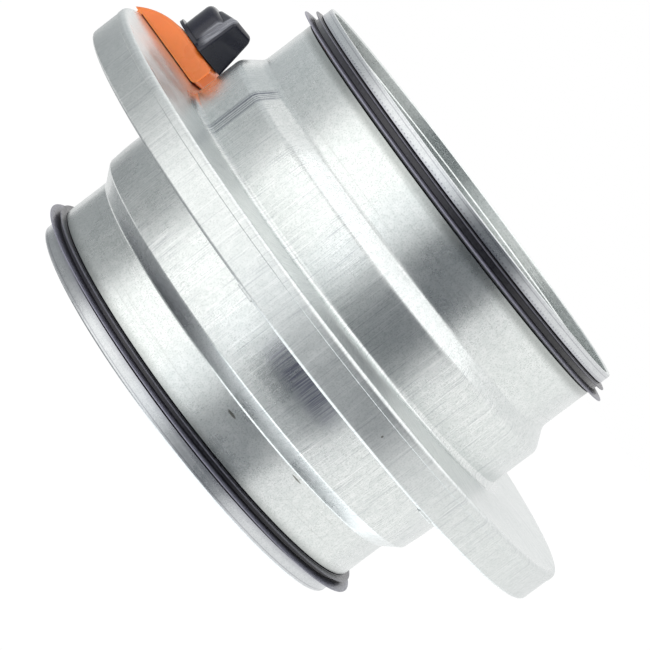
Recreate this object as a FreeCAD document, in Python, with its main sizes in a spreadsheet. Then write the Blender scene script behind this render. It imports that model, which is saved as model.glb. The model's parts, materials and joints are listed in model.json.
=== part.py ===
import FreeCAD, Part
import math
import os
import Sketcher

# Iris damper for a round duct, nominal size 125. Lengths in millimetres, angles in degrees.
# The duct axis is Z. The rear spigot ends at height zero, the knob is on the front face at minus Y.

SIZES = {
    # Spigots, cones and necks
    "duct_radius": 62.25,
    "sheet": 0.6,
    "rear_spigot_length": 20.9,
    "rear_cone_length": 4.3,
    "rear_neck_length": 17.9,
    "neck_radius": 66.55,
    "front_neck_length": 15.4,
    "front_cone_length": 5.4,
    "front_spigot_length": 22.9,
    "rear_foot_radius": 0.9,
    "front_foot_radius": 3.0,
    "neck_shoulder_radius": 3.0,
    "neck_root_radius": 1.8,
    # Drum between the necks
    "drum_radius": 96.5,
    "drum_width": 11.2,
    "drum_edge_radius": 1.5,
    "band_height": 8.6,
    "hem_share": 0.8,
    "hole_tool_share": 4.0,
    "band_lap": 1.4,
    "band_step": 0.15,
    "lap_clearance": 0.05,
    # Gaskets and plain rims
    "rim_width": 3.0,
    "gasket_width": 4.4,
    "groove_depth": 0.9,
    "groove_flank": 0.3,
    "gasket_proud": 0.12,
    "tall_lip_height": 3.8,
    "tall_lip_root": 1.3,
    "short_lip_height": 1.9,
    "short_lip_root": 0.7,
    "lip_tip": 0.3,
    "rear_tall_lip": 2.1,
    "rear_short_lip": 3.95,
    "front_tall_lip": 0.7,
    "front_short_lip": 3.5,
    # Blades, as they lie with the damper fully open
    "blade_count": 6,
    "blade_levels": 3,
    "blade_sheet": 0.7,
    "level_pitch": 1.2,
    "blade_floor_gap": 0.6,
    "pivot_inset": 6.0,
    "eye_radius": 4.6,
    "eye_heel_angle": 233.13,
    "blade_throat_margin": 1.75,
    "waist_inset": 8.5,
    "waist_angle": 60.0,
    "tip_inset": 14.5,
    "tip_angle": 118.0,
    "tip_rounding": 3.0,
    "blade_swing_angle": 20.0,
    "blade_rest_angle": 10.0,
    "pivot_radius": 1.5,
    "pivot_clearance": 0.05,
    "pivot_azimuth": -130.7,
    # Drive studs on the blades and cam slots in the rotor ring
    "stud_arm": 17.0,
    "stud_bearing": 96.0,
    "stud_radius": 1.4,
    "stud_rivet_radius": 1.0,
    "stud_overrun": 0.5,
    "slot_clearance": 0.1,
    "rotor_share": 0.8,
    # Rotor ring
    "rotor_inner_inset": 18.5,
    "rotor_outer_inset": 2.3,
    "rotor_sheet": 1.5,
    "rotor_gap": 0.9,
    # Toothed window in the ring and the pinion in it
    "tooth_module": 1.0,
    "pinion_teeth": 12,
    "knob_inset": 16.5,
    "tooth_addendum": 0.8,
    "tooth_dedendum": 1.15,
    "tooth_backlash": 0.12,
    "pressure_angle": 20.0,
    "window_margin": 1.4,
    "window_overrun": 1.0,
    "pinion_width": 2.6,
    "pinion_gap": 0.4,
    # Guides that carry the ring
    "guide_inner_inset": 4.9,
    "guide_width": 9.0,
    "guide_bearing": 52.0,
    "guide_clearance": 0.1,
    "guide_lip": 1.2,
    "guide_wall_gap": 0.1,
    "guide_rivet_radius": 0.9,
    "guide_rivet_head": 1.3,
    "rivet_head_radius": 2.5,
    "rivet_head_height": 0.3,
    "guide_head_height": 0.12,
    "rivet_peen_radius": 2.1,
    "rivet_peen_height": 0.35,
    "spacer_radius": 2.1,
    # Cover over the knob shaft
    "cover_half_width": 10.6,
    "cover_height": 6.7,
    "cover_base_gap": 0.3,
    "cover_neck_gap": 2.35,
    "cover_skirt": 2.1,
    "cover_tongue_skirt": 1.6,
    "cover_tongue_half_width": 5.0,
    "cover_tongue_rise": 2.4,
    "cover_wall": 1.5,
    "cover_nose_inset": 14.0,
    "cover_nose_radius": 20.5,
    "cover_nose_run": 19.5,
    "cover_rim_clearance": 0.2,
    "cover_hook_drop": 1.9,
    "cover_hook_reach": 2.2,
    "cover_edge_radius": 1.4,
    "cover_foot_radius": 1.8,
    # Knob, its collar and shaft
    "shaft_radius": 2.5,
    "shaft_clearance": 0.05,
    "bush_radius": 4.0,
    "bush_flange_radius": 5.6,
    "bush_flange_height": 0.8,
    "bush_proud": 0.6,
    "collar_radius": 9.1,
    "collar_height": 1.0,
    "collar_gap": 0.25,
    "hub_radius": 7.6,
    "hub_height": 9.2,
    "hub_edge_radius": 2.0,
    "bar_reach": 11.2,
    "bar_width": 7.6,
    "bar_height": 13.3,
    "bar_tail": 2.4,
    "bar_tail_height": 10.1,
    "bar_corner_radius": 2.8,
    "bar_end_lean": 0.4,
    "bar_edge_radius": 1.1,
    "bar_taper": 1.0,
    "bar_bearing": 44.5,
    "clip_radius": 4.2,
    "clip_height": 0.6,
    # Pointer, scale and measuring nipples
    "pointer_bearing": -60.0,
    "pointer_inset": 10.0,
    "pointer_radius": 1.6,
    "pointer_proud": 0.4,
    "window_half_width": 2.2,
    "slot_end_share": 1.04,
    "window_slack_angle": 0.6,
    "scale_inner_inset": 20.5,
    "scale_outer_inset": 5.0,
    "scale_half_angle": 14.0,
    "scale_sheet": 0.5,
    "nipple_inset": 14.0,
    "nipple_bearing": -80.0,
    "nipple_radius": 2.1,
    "nipple_bore": 1.2,
    "nipple_length": 11.0,
    "nipple_flange_radius": 4.5,
    "nipple_flange_height": 1.2,
    "cap_wall": 0.9,
    "cap_length": 8.0,
    "cap_clearance": 0.02,
}


class Size:
    """A length or angle that carries its value and the expression that gives it."""

    def __init__(self, value, text):
        self.value = float(value)
        self.text = text

    def __add__(self, other):
        other = as_size(other)
        return Size(self.value + other.value, "(" + self.text + " + " + other.text + ")")

    def __radd__(self, other):
        return as_size(other) + self

    def __sub__(self, other):
        other = as_size(other)
        return Size(self.value - other.value, "(" + self.text + " - " + other.text + ")")

    def __rsub__(self, other):
        return as_size(other) - self

    def __mul__(self, other):
        other = as_size(other)
        return Size(self.value * other.value, "(" + self.text + " * " + other.text + ")")

    def __rmul__(self, other):
        return as_size(other) * self

    def __truediv__(self, other):
        other = as_size(other)
        return Size(self.value / other.value, "(" + self.text + " / " + other.text + ")")

    def __neg__(self):
        return Size(-self.value, "(0 - " + self.text + ")")


def as_size(number):
    if isinstance(number, Size):
        return number
    return Size(number, repr(float(number)))


def cosine(angle):
    angle = as_size(angle)
    return Size(math.cos(math.radians(angle.value)), "cos(" + angle.text + ")")


def sine(angle):
    angle = as_size(angle)
    return Size(math.sin(math.radians(angle.value)), "sin(" + angle.text + ")")


def root(amount):
    return Size(math.sqrt(amount.value), "sqrt(" + amount.text + ")")


doc = FreeCAD.newDocument("iris_damper")
sheet = doc.addObject("Spreadsheet::Sheet", "Sizes")
for row, (alias, number) in enumerate(SIZES.items(), start=1):
    sheet.set("A" + str(row), alias)
    sheet.set("B" + str(row), str(number))
    sheet.setAlias("B" + str(row), alias)
doc.recompute()


def size(alias):
    return Size(getattr(sheet, alias), "Sizes." + alias)


# Heights along the duct axis
t = size("sheet")
duct_r = size("duct_radius")
neck_r = size("neck_radius")
drum_r = size("drum_radius")
pivot_circle = drum_r - size("pivot_inset")
blade_inner_r = duct_r + size("blade_throat_margin")
waist_r = drum_r - size("waist_inset")
tip_r = drum_r - size("tip_inset")
rotor_outer_r = drum_r - size("rotor_outer_inset")
rotor_inner_r = drum_r - size("rotor_inner_inset")
knob_circle = drum_r - size("knob_inset")
guide_inner_r = drum_r - size("guide_inner_inset")
pointer_circle = drum_r - size("pointer_inset")
nipple_circle = drum_r - size("nipple_inset")
rear_cone_z = size("rear_spigot_length")
rear_neck_z = rear_cone_z + size("rear_cone_length")
drum_z = rear_neck_z + size("rear_neck_length")
band_z = drum_z + size("band_height")
face_z = drum_z + size("drum_width")
front_cone_z = face_z + size("front_neck_length")
front_spigot_z = front_cone_z + size("front_cone_length")
total_z = front_spigot_z + size("front_spigot_length")
floor_z = drum_z + t
ceiling_z = face_z - t
blade_z = floor_z + size("blade_floor_gap")
top_level_z = blade_z + size("level_pitch") * (size("blade_levels") - 1) + size("blade_sheet")
rotor_z = top_level_z + size("rotor_gap")
rotor_top_z = rotor_z + size("rotor_sheet")
pinion_z = top_level_z + size("pinion_gap")
cover_top_z = face_z + size("cover_height")
collar_z = cover_top_z + size("collar_gap")
hub_z = collar_z + size("collar_height")
hub_top_z = hub_z + size("hub_height")

BLADES = int(SIZES["blade_count"])
LEVELS = int(SIZES["blade_levels"])
KNOB_AZIMUTH = -90.0
rotor_rest = size("blade_rest_angle") * size("rotor_share")
knob_x = knob_circle * cosine(KNOB_AZIMUTH)
knob_y = knob_circle * sine(KNOB_AZIMUTH)


def bind(thing, prop, amount):
    thing.setExpression(prop, as_size(amount).text)


def plane(body, role):
    return [f for f in body.Origin.OriginFeatures if f.Role == role][0]


def new_body(name):
    body = doc.addObject("PartDesign::Body", name)
    body.Label = name
    return body


ARC_ENTRIES = 3


def outline(body, name, role, corners, height=None):
    """A closed outline through (x, y) corners. A third entry gives the radius of the arc to the next
    corner, positive where the arc turns left on its way and negative where it turns right."""
    sketch = body.newObject("Sketcher::SketchObject", name)
    sketch.AttachmentSupport = [(plane(body, role), "")]
    sketch.MapMode = "FlatFace"
    if height is not None:
        bind(sketch, "AttachmentOffset.Base.z", height)
    count = len(corners)
    spots = [FreeCAD.Vector(as_size(c[0]).value, as_size(c[1]).value, 0) for c in corners]
    first = {}
    for i, corner in enumerate(corners):
        start, end = spots[i], spots[(i + 1) % count]
        if len(corner) < ARC_ENTRIES:
            sketch.addGeometry(Part.LineSegment(start, end))
            first[i] = (1, 2)
            continue
        radius = as_size(corner[2]).value
        chord = end - start
        left = FreeCAD.Vector(-chord.y, chord.x, 0).normalize()
        rise = math.sqrt(max(radius * radius - chord.Length ** 2 / 4, 0.0))
        side = 1 if radius > 0 else -1
        centre = (start + end) * 0.5 + left * (rise * side)
        middle = centre - left * (abs(radius) * side)
        sketch.addGeometry(Part.Arc(start, middle, end))
        first[i] = (1, 2) if side > 0 else (2, 1)
    rules = []
    for i in range(count):
        nxt = (i + 1) % count
        rules.append(Sketcher.Constraint("Coincident", i, first[i][1], nxt, first[nxt][0]))
    sketch.addConstraint(rules)
    for i, corner in enumerate(corners):
        index = sketch.addConstraint(Sketcher.Constraint("DistanceX", i, first[i][0], spots[i].x))
        bind(sketch, "Constraints[" + str(index) + "]", corner[0])
        index = sketch.addConstraint(Sketcher.Constraint("DistanceY", i, first[i][0], spots[i].y))
        bind(sketch, "Constraints[" + str(index) + "]", corner[1])
        if len(corner) == ARC_ENTRIES:
            radius = as_size(corner[2])
            if radius.value < 0:
                radius = -radius
            index = sketch.addConstraint(Sketcher.Constraint("Radius", i, radius.value))
            bind(sketch, "Constraints[" + str(index) + "]", radius)
    return sketch


def add_circle(sketch, x, y, radius):
    x, y, radius = as_size(x), as_size(y), as_size(radius)
    centre = FreeCAD.Vector(x.value, y.value, 0)
    index = sketch.addGeometry(Part.Circle(centre, FreeCAD.Vector(0, 0, 1), radius.value))
    for kind, amount in (("DistanceX", x), ("DistanceY", y)):
        rule = sketch.addConstraint(Sketcher.Constraint(kind, index, 3, amount.value))
        bind(sketch, "Constraints[" + str(rule) + "]", amount)
    rule = sketch.addConstraint(Sketcher.Constraint("Radius", index, radius.value))
    bind(sketch, "Constraints[" + str(rule) + "]", radius)


def revolve(body, sketch, name):
    turn = body.newObject("PartDesign::Revolution", name)
    turn.Profile = sketch
    turn.ReferenceAxis = (sketch, ["V_Axis"])
    turn.Angle = 360.0
    body.Tip = turn
    doc.recompute()
    return turn


def pad(body, sketch, name, length, centred=False):
    block = body.newObject("PartDesign::Pad", name)
    block.Profile = sketch
    bind(block, "Length", length)
    block.SideType = "Symmetric" if centred else "One side"
    body.Tip = block
    doc.recompute()
    return block


def ring_edges(shape, wanted):
    """Names of the round edges about the duct axis at the given (radius, height) pairs."""
    names = []
    for number, edge in enumerate(shape.Edges, start=1):
        curve = edge.Curve
        if not isinstance(curve, Part.Circle):
            continue
        if abs(curve.Axis.z) < 0.999 or curve.Center.x ** 2 + curve.Center.y ** 2 > 1e-6:
            continue
        for radius, height in wanted:
            if abs(curve.Radius - radius.value) < 0.02 and abs(curve.Center.z - height.value) < 0.02:
                names.append("Edge" + str(number))
    return names


def round_rings(body, name, radius, wanted):
    base = body.Tip
    fillet = body.newObject("PartDesign::Fillet", name)
    fillet.Base = (base, ring_edges(base.Shape, wanted))
    bind(fillet, "Radius", radius)
    body.Tip = fillet
    doc.recompute()
    return fillet


def cylinder(name, radius, height, x=0.0, y=0.0, z=0.0):
    solid = doc.addObject("Part::Cylinder", name)
    bind(solid, "Radius", radius)
    bind(solid, "Height", height)
    bind(solid, "Placement.Base.x", x)
    bind(solid, "Placement.Base.y", y)
    bind(solid, "Placement.Base.z", z)
    return solid


def box(name, length, width, height, x, y, z, turn=None):
    solid = doc.addObject("Part::Box", name)
    for prop, amount in (("Length", length), ("Width", width), ("Height", height)):
        bind(solid, prop, amount)
    for prop, amount in (("x", x), ("y", y), ("z", z)):
        bind(solid, "Placement.Base." + prop, amount)
    if turn is not None:
        bind(solid, "Placement.Rotation.Angle", turn)
    return solid


def fuse(name, solids):
    joined = doc.addObject("Part::MultiFuse", name)
    joined.Shapes = solids
    joined.Label = name
    return joined


def group(name, solids):
    compound = doc.addObject("Part::Compound", name)
    compound.Links = solids
    compound.Label = name
    return compound


def cut(name, base, tools):
    bundle = doc.addObject("Part::Compound", name + "_holes")
    bundle.Links = tools
    carved = doc.addObject("Part::Cut", name)
    carved.Base = base
    carved.Tool = bundle
    carved.Label = name
    return carved


def polar(radius, azimuth):
    return radius * cosine(azimuth), radius * sine(azimuth)


def pivot_azimuth(i):
    return size("pivot_azimuth") + 360.0 / BLADES * i


def guide_azimuth(i):
    return pivot_azimuth(i) + size("guide_bearing")


def nipple_spot():
    return polar(nipple_circle, KNOB_AZIMUTH + size("nipple_bearing"))


# Gasket grooves: heights and radii shared by the spigots and the gaskets
groove_r = duct_r - size("groove_depth")
flank = size("groove_flank")
hem_r = duct_r - t * 2


def spigot_wall(direction, end):
    """Outside corners of a spigot from its end inward, and the matching inside corners."""
    near = end + size("rim_width") * direction
    far = near + size("gasket_width") * direction
    outside = [
        (duct_r, end),
        (duct_r, near - flank * direction),
        (groove_r, near),
        (groove_r, far),
        (duct_r, far + flank * direction),
    ]
    inside = [
        (hem_r, end),
        (hem_r, near - flank * direction),
        (groove_r - t, near),
        (groove_r - t, far),
        (duct_r - t, far + flank * direction),
    ]
    return outside, inside


# Rear shell: spigot, cone, neck, rear wall and the band round the drum
def rear_shell():
    body = new_body("rear_shell_sheet")
    outside, inside = spigot_wall(1, as_size(0.0))
    lap_r = drum_r - t - size("lap_clearance")
    lap_z = band_z + size("band_lap")
    band_r = drum_r - size("band_step")
    corners = outside + [
        (duct_r, rear_cone_z),
        (neck_r, rear_neck_z),
        (neck_r, drum_z),
        (band_r, drum_z),
        (band_r, band_z),
        (lap_r, band_z),
        (lap_r, lap_z),
        (lap_r - t, lap_z),
        (lap_r - t, band_z - t),
        (band_r - t, band_z - t),
        (band_r - t, floor_z),
        (neck_r - t, floor_z),
        (neck_r - t, rear_neck_z),
        (duct_r - t, rear_cone_z),
    ] + inside[::-1]
    sketch = outline(body, "rear_profile", "XZ_Plane", corners)
    revolve(body, sketch, "rear_turn")
    bend, shoulder, foot = size("neck_root_radius"), size("neck_shoulder_radius"), size("rear_foot_radius")
    round_rings(body, "rear_root", bend, [(neck_r, drum_z)])
    round_rings(body, "rear_root_inside", bend + t, [(neck_r - t, floor_z)])
    round_rings(body, "rear_shoulder", shoulder, [(neck_r, rear_neck_z)])
    round_rings(body, "rear_shoulder_inside", shoulder - t, [(neck_r - t, rear_neck_z)])
    round_rings(body, "rear_foot", foot, [(duct_r, rear_cone_z)])
    round_rings(body, "rear_foot_inside", foot + t, [(duct_r - t, rear_cone_z)])
    round_rings(body, "rear_drum_edge", size("drum_edge_radius") * 0.6, [(band_r, drum_z)])
    round_rings(body, "rear_hem", t * size("hem_share"), [(duct_r, as_size(0.0)), (hem_r, as_size(0.0))])
    tools = []
    reach = t * size("hole_tool_share")
    for i in range(BLADES):
        x, y = polar(pivot_circle, pivot_azimuth(i))
        tools.append(cylinder("rear_pivot_hole_" + str(i + 1), size("pivot_radius"), reach, x, y, drum_z - t))
        x, y = polar(guide_rivet_circle, guide_azimuth(i))
        hole_r = size("guide_rivet_radius")
        tools.append(cylinder("rear_guide_hole_" + str(i + 1), hole_r, reach, x, y, drum_z - t))
    x, y = nipple_spot()
    tools.append(cylinder("rear_nipple_hole", size("nipple_radius"), reach, x, y, drum_z - t))
    return cut("rear_shell", body, tools)


# Front shell: skirt over the band, front wall, neck, cone and spigot
def front_shell():
    body = new_body("front_shell_sheet")
    outside, inside = spigot_wall(-1, total_z)
    corners = [
        (drum_r, band_z),
        (drum_r, face_z),
        (neck_r, face_z),
        (neck_r, front_cone_z),
        (duct_r, front_spigot_z),
    ] + outside[::-1] + inside + [
        (duct_r - t, front_spigot_z),
        (neck_r - t, front_cone_z),
        (neck_r - t, ceiling_z),
        (drum_r - t, ceiling_z),
        (drum_r - t, band_z),
    ]
    sketch = outline(body, "front_profile", "XZ_Plane", corners)
    revolve(body, sketch, "front_turn")
    bend, shoulder, edge = size("neck_root_radius"), size("neck_shoulder_radius"), size("drum_edge_radius")
    foot = size("front_foot_radius")
    round_rings(body, "front_root", bend, [(neck_r, face_z)])
    round_rings(body, "front_root_inside", bend + t, [(neck_r - t, ceiling_z)])
    round_rings(body, "front_shoulder", shoulder, [(neck_r, front_cone_z)])
    round_rings(body, "front_shoulder_inside", shoulder - t, [(neck_r - t, front_cone_z)])
    round_rings(body, "front_foot", foot, [(duct_r, front_spigot_z)])
    round_rings(body, "front_foot_inside", foot + t, [(duct_r - t, front_spigot_z)])
    round_rings(body, "front_edge", edge, [(drum_r, face_z)])
    round_rings(body, "front_edge_inside", edge - t, [(drum_r - t, ceiling_z)])
    round_rings(body, "front_hem", t * size("hem_share"), [(duct_r, total_z), (hem_r, total_z)])
    reach = t * size("hole_tool_share")
    low = ceiling_z - t
    tools = [cylinder("bush_hole", size("bush_radius"), reach, knob_x, knob_y, low)]
    x, y = nipple_spot()
    tools.append(cylinder("front_nipple_hole", size("nipple_radius"), reach, x, y, low))
    tools.append(arc_slot("pointer_window", low, reach, pointer_circle, pointer_azimuth,
                          window_half_angle, size("window_half_width")))
    return cut("front_shell", body, tools)


pointer_azimuth = KNOB_AZIMUTH + size("pointer_bearing")
window_half_angle = rotor_rest + size("window_slack_angle")
guide_outer_r = drum_r - t * 2 - size("lap_clearance") - size("guide_wall_gap")
guide_rivet_circle = (guide_inner_r + guide_outer_r) / 2


def arc_slot(name, z, height, circle, azimuth, half_angle, half_width):
    """A tool for a slot along a circle about the duct axis. Its ends are just short of half round."""
    start, end = azimuth - half_angle, azimuth + half_angle
    end_r = half_width * size("slot_end_share")
    body = new_body(name)
    inner, outer = circle - half_width, circle + half_width
    corners = [
        (*polar(inner, start), inner),
        (*polar(inner, end), -end_r),
        (*polar(outer, end), -outer),
        (*polar(outer, start), -end_r),
    ]
    sketch = outline(body, name + "_outline", "XY_Plane", corners, z)
    pad(body, sketch, name + "_pad", height)
    return body


# Double-lip gasket in its groove: each lip stands at its own distance from the gasket's lower side
def gasket(name, low, tall_lip, short_lip):
    body = new_body(name)
    high = low + size("gasket_width")
    top_r = duct_r + size("gasket_proud")
    half_tip = size("lip_tip") / 2
    corners = [(groove_r, high), (groove_r, low), (duct_r, low)]
    for lip, height, root_width in (
        (tall_lip, "tall_lip_height", "tall_lip_root"),
        (short_lip, "short_lip_height", "short_lip_root"),
    ):
        middle = low + lip
        corners += [
            (top_r, middle - size(root_width) / 2),
            (duct_r + size(height), middle - half_tip),
            (duct_r + size(height), middle + half_tip),
            (top_r, middle + size(root_width) / 2),
        ]
    corners.append((duct_r, high))
    sketch = outline(body, name + "_profile", "XZ_Plane", corners)
    revolve(body, sketch, name + "_turn")
    return body


def rear_gasket():
    return gasket("rear_gasket", size("rim_width"), size("rear_tall_lip"), size("rear_short_lip"))


def front_gasket():
    low = total_z - size("rim_width") - size("gasket_width")
    return gasket("front_gasket", low, size("front_tall_lip"), size("front_short_lip"))


# A blade lies flat at its own level and turns on its pivot, which is its own origin
def blade(i):
    name = "blade_" + str(i + 1)
    body = new_body(name)
    pivot = pivot_circle
    eye = size("eye_radius")
    inner = blade_inner_r
    tip_in = polar(inner, size("tip_angle"))
    tip_out = polar(tip_r, size("tip_angle"))
    corners = [
        (eye, 0.0, blade_outer_arc),
        (tip_out[0] - pivot, tip_out[1]),
        (tip_in[0] - pivot, tip_in[1], -inner),
        (inner - pivot, 0.0),
        (*polar(eye, size("eye_heel_angle")), eye),
    ]
    sketch = outline(body, name + "_outline", "XY_Plane", corners)
    add_circle(sketch, 0.0, 0.0, size("pivot_radius") + size("pivot_clearance"))
    arm_x, arm_y = polar(size("stud_arm"), size("stud_bearing"))
    add_circle(sketch, arm_x, arm_y, size("stud_rivet_radius"))
    plate = pad(body, sketch, name + "_pad", size("blade_sheet"))
    corner_edges = []
    for number, edge in enumerate(plate.Shape.Edges, start=1):
        middle = edge.CenterOfMass
        upright = abs(edge.tangentAt(edge.FirstParameter).z) > 0.99
        for spot in (tip_in, tip_out):
            if upright and math.hypot(middle.x - spot[0].value + pivot.value, middle.y - spot[1].value) < 0.1:
                corner_edges.append("Edge" + str(number))
    fillet = body.newObject("PartDesign::Fillet", name + "_tip")
    fillet.Base = (plate, corner_edges)
    bind(fillet, "Radius", size("tip_rounding"))
    body.Tip = fillet
    place_on_pivot(body, i, blade_z + size("level_pitch") * (i % LEVELS))
    return body


def place_on_pivot(thing, i, z):
    azimuth = pivot_azimuth(i)
    x, y = polar(pivot_circle, azimuth)
    bind(thing, "Placement.Base.x", x)
    bind(thing, "Placement.Base.y", y)
    bind(thing, "Placement.Base.z", z)
    bind(thing, "Placement.Rotation.Angle", azimuth + size("blade_rest_angle"))


def outer_arc_radius():
    """Radius of the arc through the outside of the eye, the waist and the tip of a blade."""
    a = FreeCAD.Vector(pivot_circle.value + SIZES["eye_radius"], 0, 0)
    points = [a]
    for radius, angle in ((waist_r, "waist_angle"), (tip_r, "tip_angle")):
        turn = math.radians(SIZES[angle])
        points.append(FreeCAD.Vector(math.cos(turn), math.sin(turn), 0) * radius.value)
    return Part.Arc(*points).toShape().Curve.Radius


blade_outer_arc = as_size(outer_arc_radius())


def stud_track(swing):
    """Centre of a blade's drive stud, in the rotor's own frame, after the blade has closed by swing."""
    bearing = math.radians(SIZES["stud_bearing"] + swing)
    x = pivot_circle.value + SIZES["stud_arm"] * math.cos(bearing)
    y = SIZES["stud_arm"] * math.sin(bearing)
    back = -math.radians(swing * SIZES["rotor_share"])
    return FreeCAD.Vector(x * math.cos(back) - y * math.sin(back), x * math.sin(back) + y * math.cos(back), 0)


def blade_stud(i):
    name = "blade_stud_" + str(i + 1)
    level = size("level_pitch") * (i % LEVELS)
    low = blade_z + level
    top = rotor_top_z + size("stud_overrun")
    x, y = polar(size("stud_arm"), size("stud_bearing"))
    shank = cylinder(name + "_rivet", size("stud_rivet_radius"), size("blade_sheet"), x, y, 0.0)
    barrel = cylinder(name + "_barrel", size("stud_radius"), top - low - size("blade_sheet"), x, y,
                      size("blade_sheet"))
    stud = fuse(name, [shank, barrel])
    place_on_pivot(stud, i, low)
    return stud


# Pivot rivets through the rear wall, with a collar under each blade that lies higher
def pivot_rivets():
    rivets = []
    for i in range(BLADES):
        name = "pivot_rivet_" + str(i + 1)
        x, y = polar(pivot_circle, pivot_azimuth(i))
        blade_top = blade_z + size("level_pitch") * (i % LEVELS) + size("blade_sheet")
        peen_z = blade_top + size("pivot_clearance")
        head = cylinder(name + "_head", size("rivet_head_radius"), size("rivet_head_height"), x, y,
                        drum_z - size("rivet_head_height"))
        shank = cylinder(name + "_shank", size("pivot_radius"), peen_z - drum_z, x, y, drum_z)
        peen = cylinder(name + "_peen", size("rivet_peen_radius"), size("rivet_peen_height"), x, y, peen_z)
        rivets.append(fuse(name, [head, shank, peen]))
    return group("pivot_rivets", rivets)


def pivot_spacers():
    spacers = []
    for i in range(BLADES):
        name = "pivot_spacer_" + str(i + 1)
        x, y = polar(pivot_circle, pivot_azimuth(i))
        height = size("blade_floor_gap") + size("level_pitch") * (i % LEVELS) - size("pivot_clearance")
        collar = cylinder(name + "_collar", size("spacer_radius"), height, x, y, floor_z)
        bore = cylinder(name + "_bore", size("pivot_radius"), height, x, y, floor_z)
        spacers.append(cut(name, collar, [bore]))
    return group("pivot_spacers", spacers)


# Rotor ring: six cam slots and a toothed window for the pinion
def rotor_ring():
    body = new_body("rotor_disc")
    sketch = outline(body, "rotor_outline", "XY_Plane", [])
    add_circle(sketch, 0.0, 0.0, rotor_outer_r)
    add_circle(sketch, 0.0, 0.0, rotor_inner_r)
    pad(body, sketch, "rotor_pad", size("rotor_sheet"))
    slots = doc.addObject("Part::Feature", "cam_slots")
    slots.Shape = Part.makeCompound([cam_slot(i) for i in range(BLADES)])
    window = doc.addObject("Part::Feature", "toothed_window")
    window.Shape = ring_window()
    ring = cut("rotor_ring", body, [slots, window])
    bind(ring, "Placement.Base.z", rotor_z)
    bind(ring, "Placement.Rotation.Angle", rotor_rest)
    return ring


def slot_line():
    """The arc through the stud's places in the rotor at the start, middle and end of its travel."""
    return Part.Arc(*[stud_track(SIZES["blade_swing_angle"] * share) for share in (0.0, 0.5, 1.0)]).toShape().Curve


def cam_slot(i):
    line = slot_line()
    half = SIZES["stud_radius"] + SIZES["slot_clearance"]
    start, middle, end = [stud_track(SIZES["blade_swing_angle"] * share) for share in (0.0, 0.5, 1.0)]

    def beside(point, distance):
        return point + (point - line.Center).normalize() * distance

    def beyond(point, back):
        spoke = (point - line.Center).normalize()
        along = FreeCAD.Vector(-spoke.y, spoke.x, 0) * half
        if along.dot(back - point) > 0:
            along = -along
        return point + along

    edges = [
        Part.Arc(beside(start, half), beside(middle, half), beside(end, half)),
        Part.Arc(beside(end, half), beyond(end, middle), beside(end, -half)),
        Part.Arc(beside(end, -half), beside(middle, -half), beside(start, -half)),
        Part.Arc(beside(start, -half), beyond(start, middle), beside(start, half)),
    ]
    face = Part.Face(Part.Wire([edge.toShape() for edge in edges]))
    slot = face.extrude(FreeCAD.Vector(0, 0, SIZES["rotor_sheet"]))
    slot.rotate(FreeCAD.Vector(), FreeCAD.Vector(0, 0, 1), pivot_azimuth(i).value)
    return slot


def involute(angle):
    return math.tan(angle) - angle


def flank_angle(teeth, radius, slack):
    """Half the angle that a tooth of this many teeth fills at a radius, less a slack at the pitch line."""
    module, slope = SIZES["tooth_module"], math.radians(SIZES["pressure_angle"])
    pitch = teeth * module / 2
    base = pitch * math.cos(slope)
    lean = math.acos(min(base / radius, 1.0))
    return math.pi / (2 * teeth) - slack / (2 * pitch) + involute(slope) - involute(lean)


FLANK_STEPS = 4


def flank_radii(low, high):
    return [low + (high - low) * k / FLANK_STEPS for k in range(FLANK_STEPS + 1)]


def ring_teeth():
    """Teeth that the ring would have all round: its pitch radius is the knob circle plus the pinion's."""
    pitch = knob_circle.value + SIZES["tooth_module"] * SIZES["pinion_teeth"] / 2
    return 2 * pitch / SIZES["tooth_module"]


def ring_window():
    """Tool for the toothed window: a sector with the ring's tooth spaces along its outer side."""
    teeth = ring_teeth()
    module = SIZES["tooth_module"]
    pitch = teeth * module / 2
    tip = pitch - SIZES["tooth_addendum"] * module
    root = pitch + SIZES["tooth_dedendum"] * module
    step = 2 * math.pi / teeth
    pinion_r = SIZES["pinion_teeth"] * module / 2 + SIZES["tooth_addendum"] * module
    half = math.asin((pinion_r + SIZES["window_margin"]) / knob_circle.value)
    turn = math.radians(SIZES["blade_swing_angle"] * SIZES["rotor_share"])
    mid = math.radians(KNOB_AZIMUTH) - turn / 2
    phase = math.radians(KNOB_AZIMUTH) - math.radians(rotor_rest.value)
    count = int(round((turn / 2 + half) / step))
    points = []
    inner = rotor_inner_r.value - SIZES["window_overrun"]
    first = phase + step * round((mid - phase) / step - count)
    last = first + step * 2 * count
    points.append((inner, first - step / 2))
    points.append((tip, first - step / 2))
    for k in range(2 * count + 1):
        centre = first + step * k
        for radius in flank_radii(tip, root):
            points.append((radius, centre - flank_angle(teeth, radius, -SIZES["tooth_backlash"])))
        for radius in flank_radii(root, tip):
            points.append((radius, centre + flank_angle(teeth, radius, -SIZES["tooth_backlash"])))
    points.append((tip, last + step / 2))
    points.append((inner, last + step / 2))
    corners = [FreeCAD.Vector(r * math.cos(a), r * math.sin(a), 0) for r, a in points]
    face = Part.Face(Part.makePolygon(corners + [corners[0]]))
    return face.extrude(FreeCAD.Vector(0, 0, SIZES["rotor_sheet"]))


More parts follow.
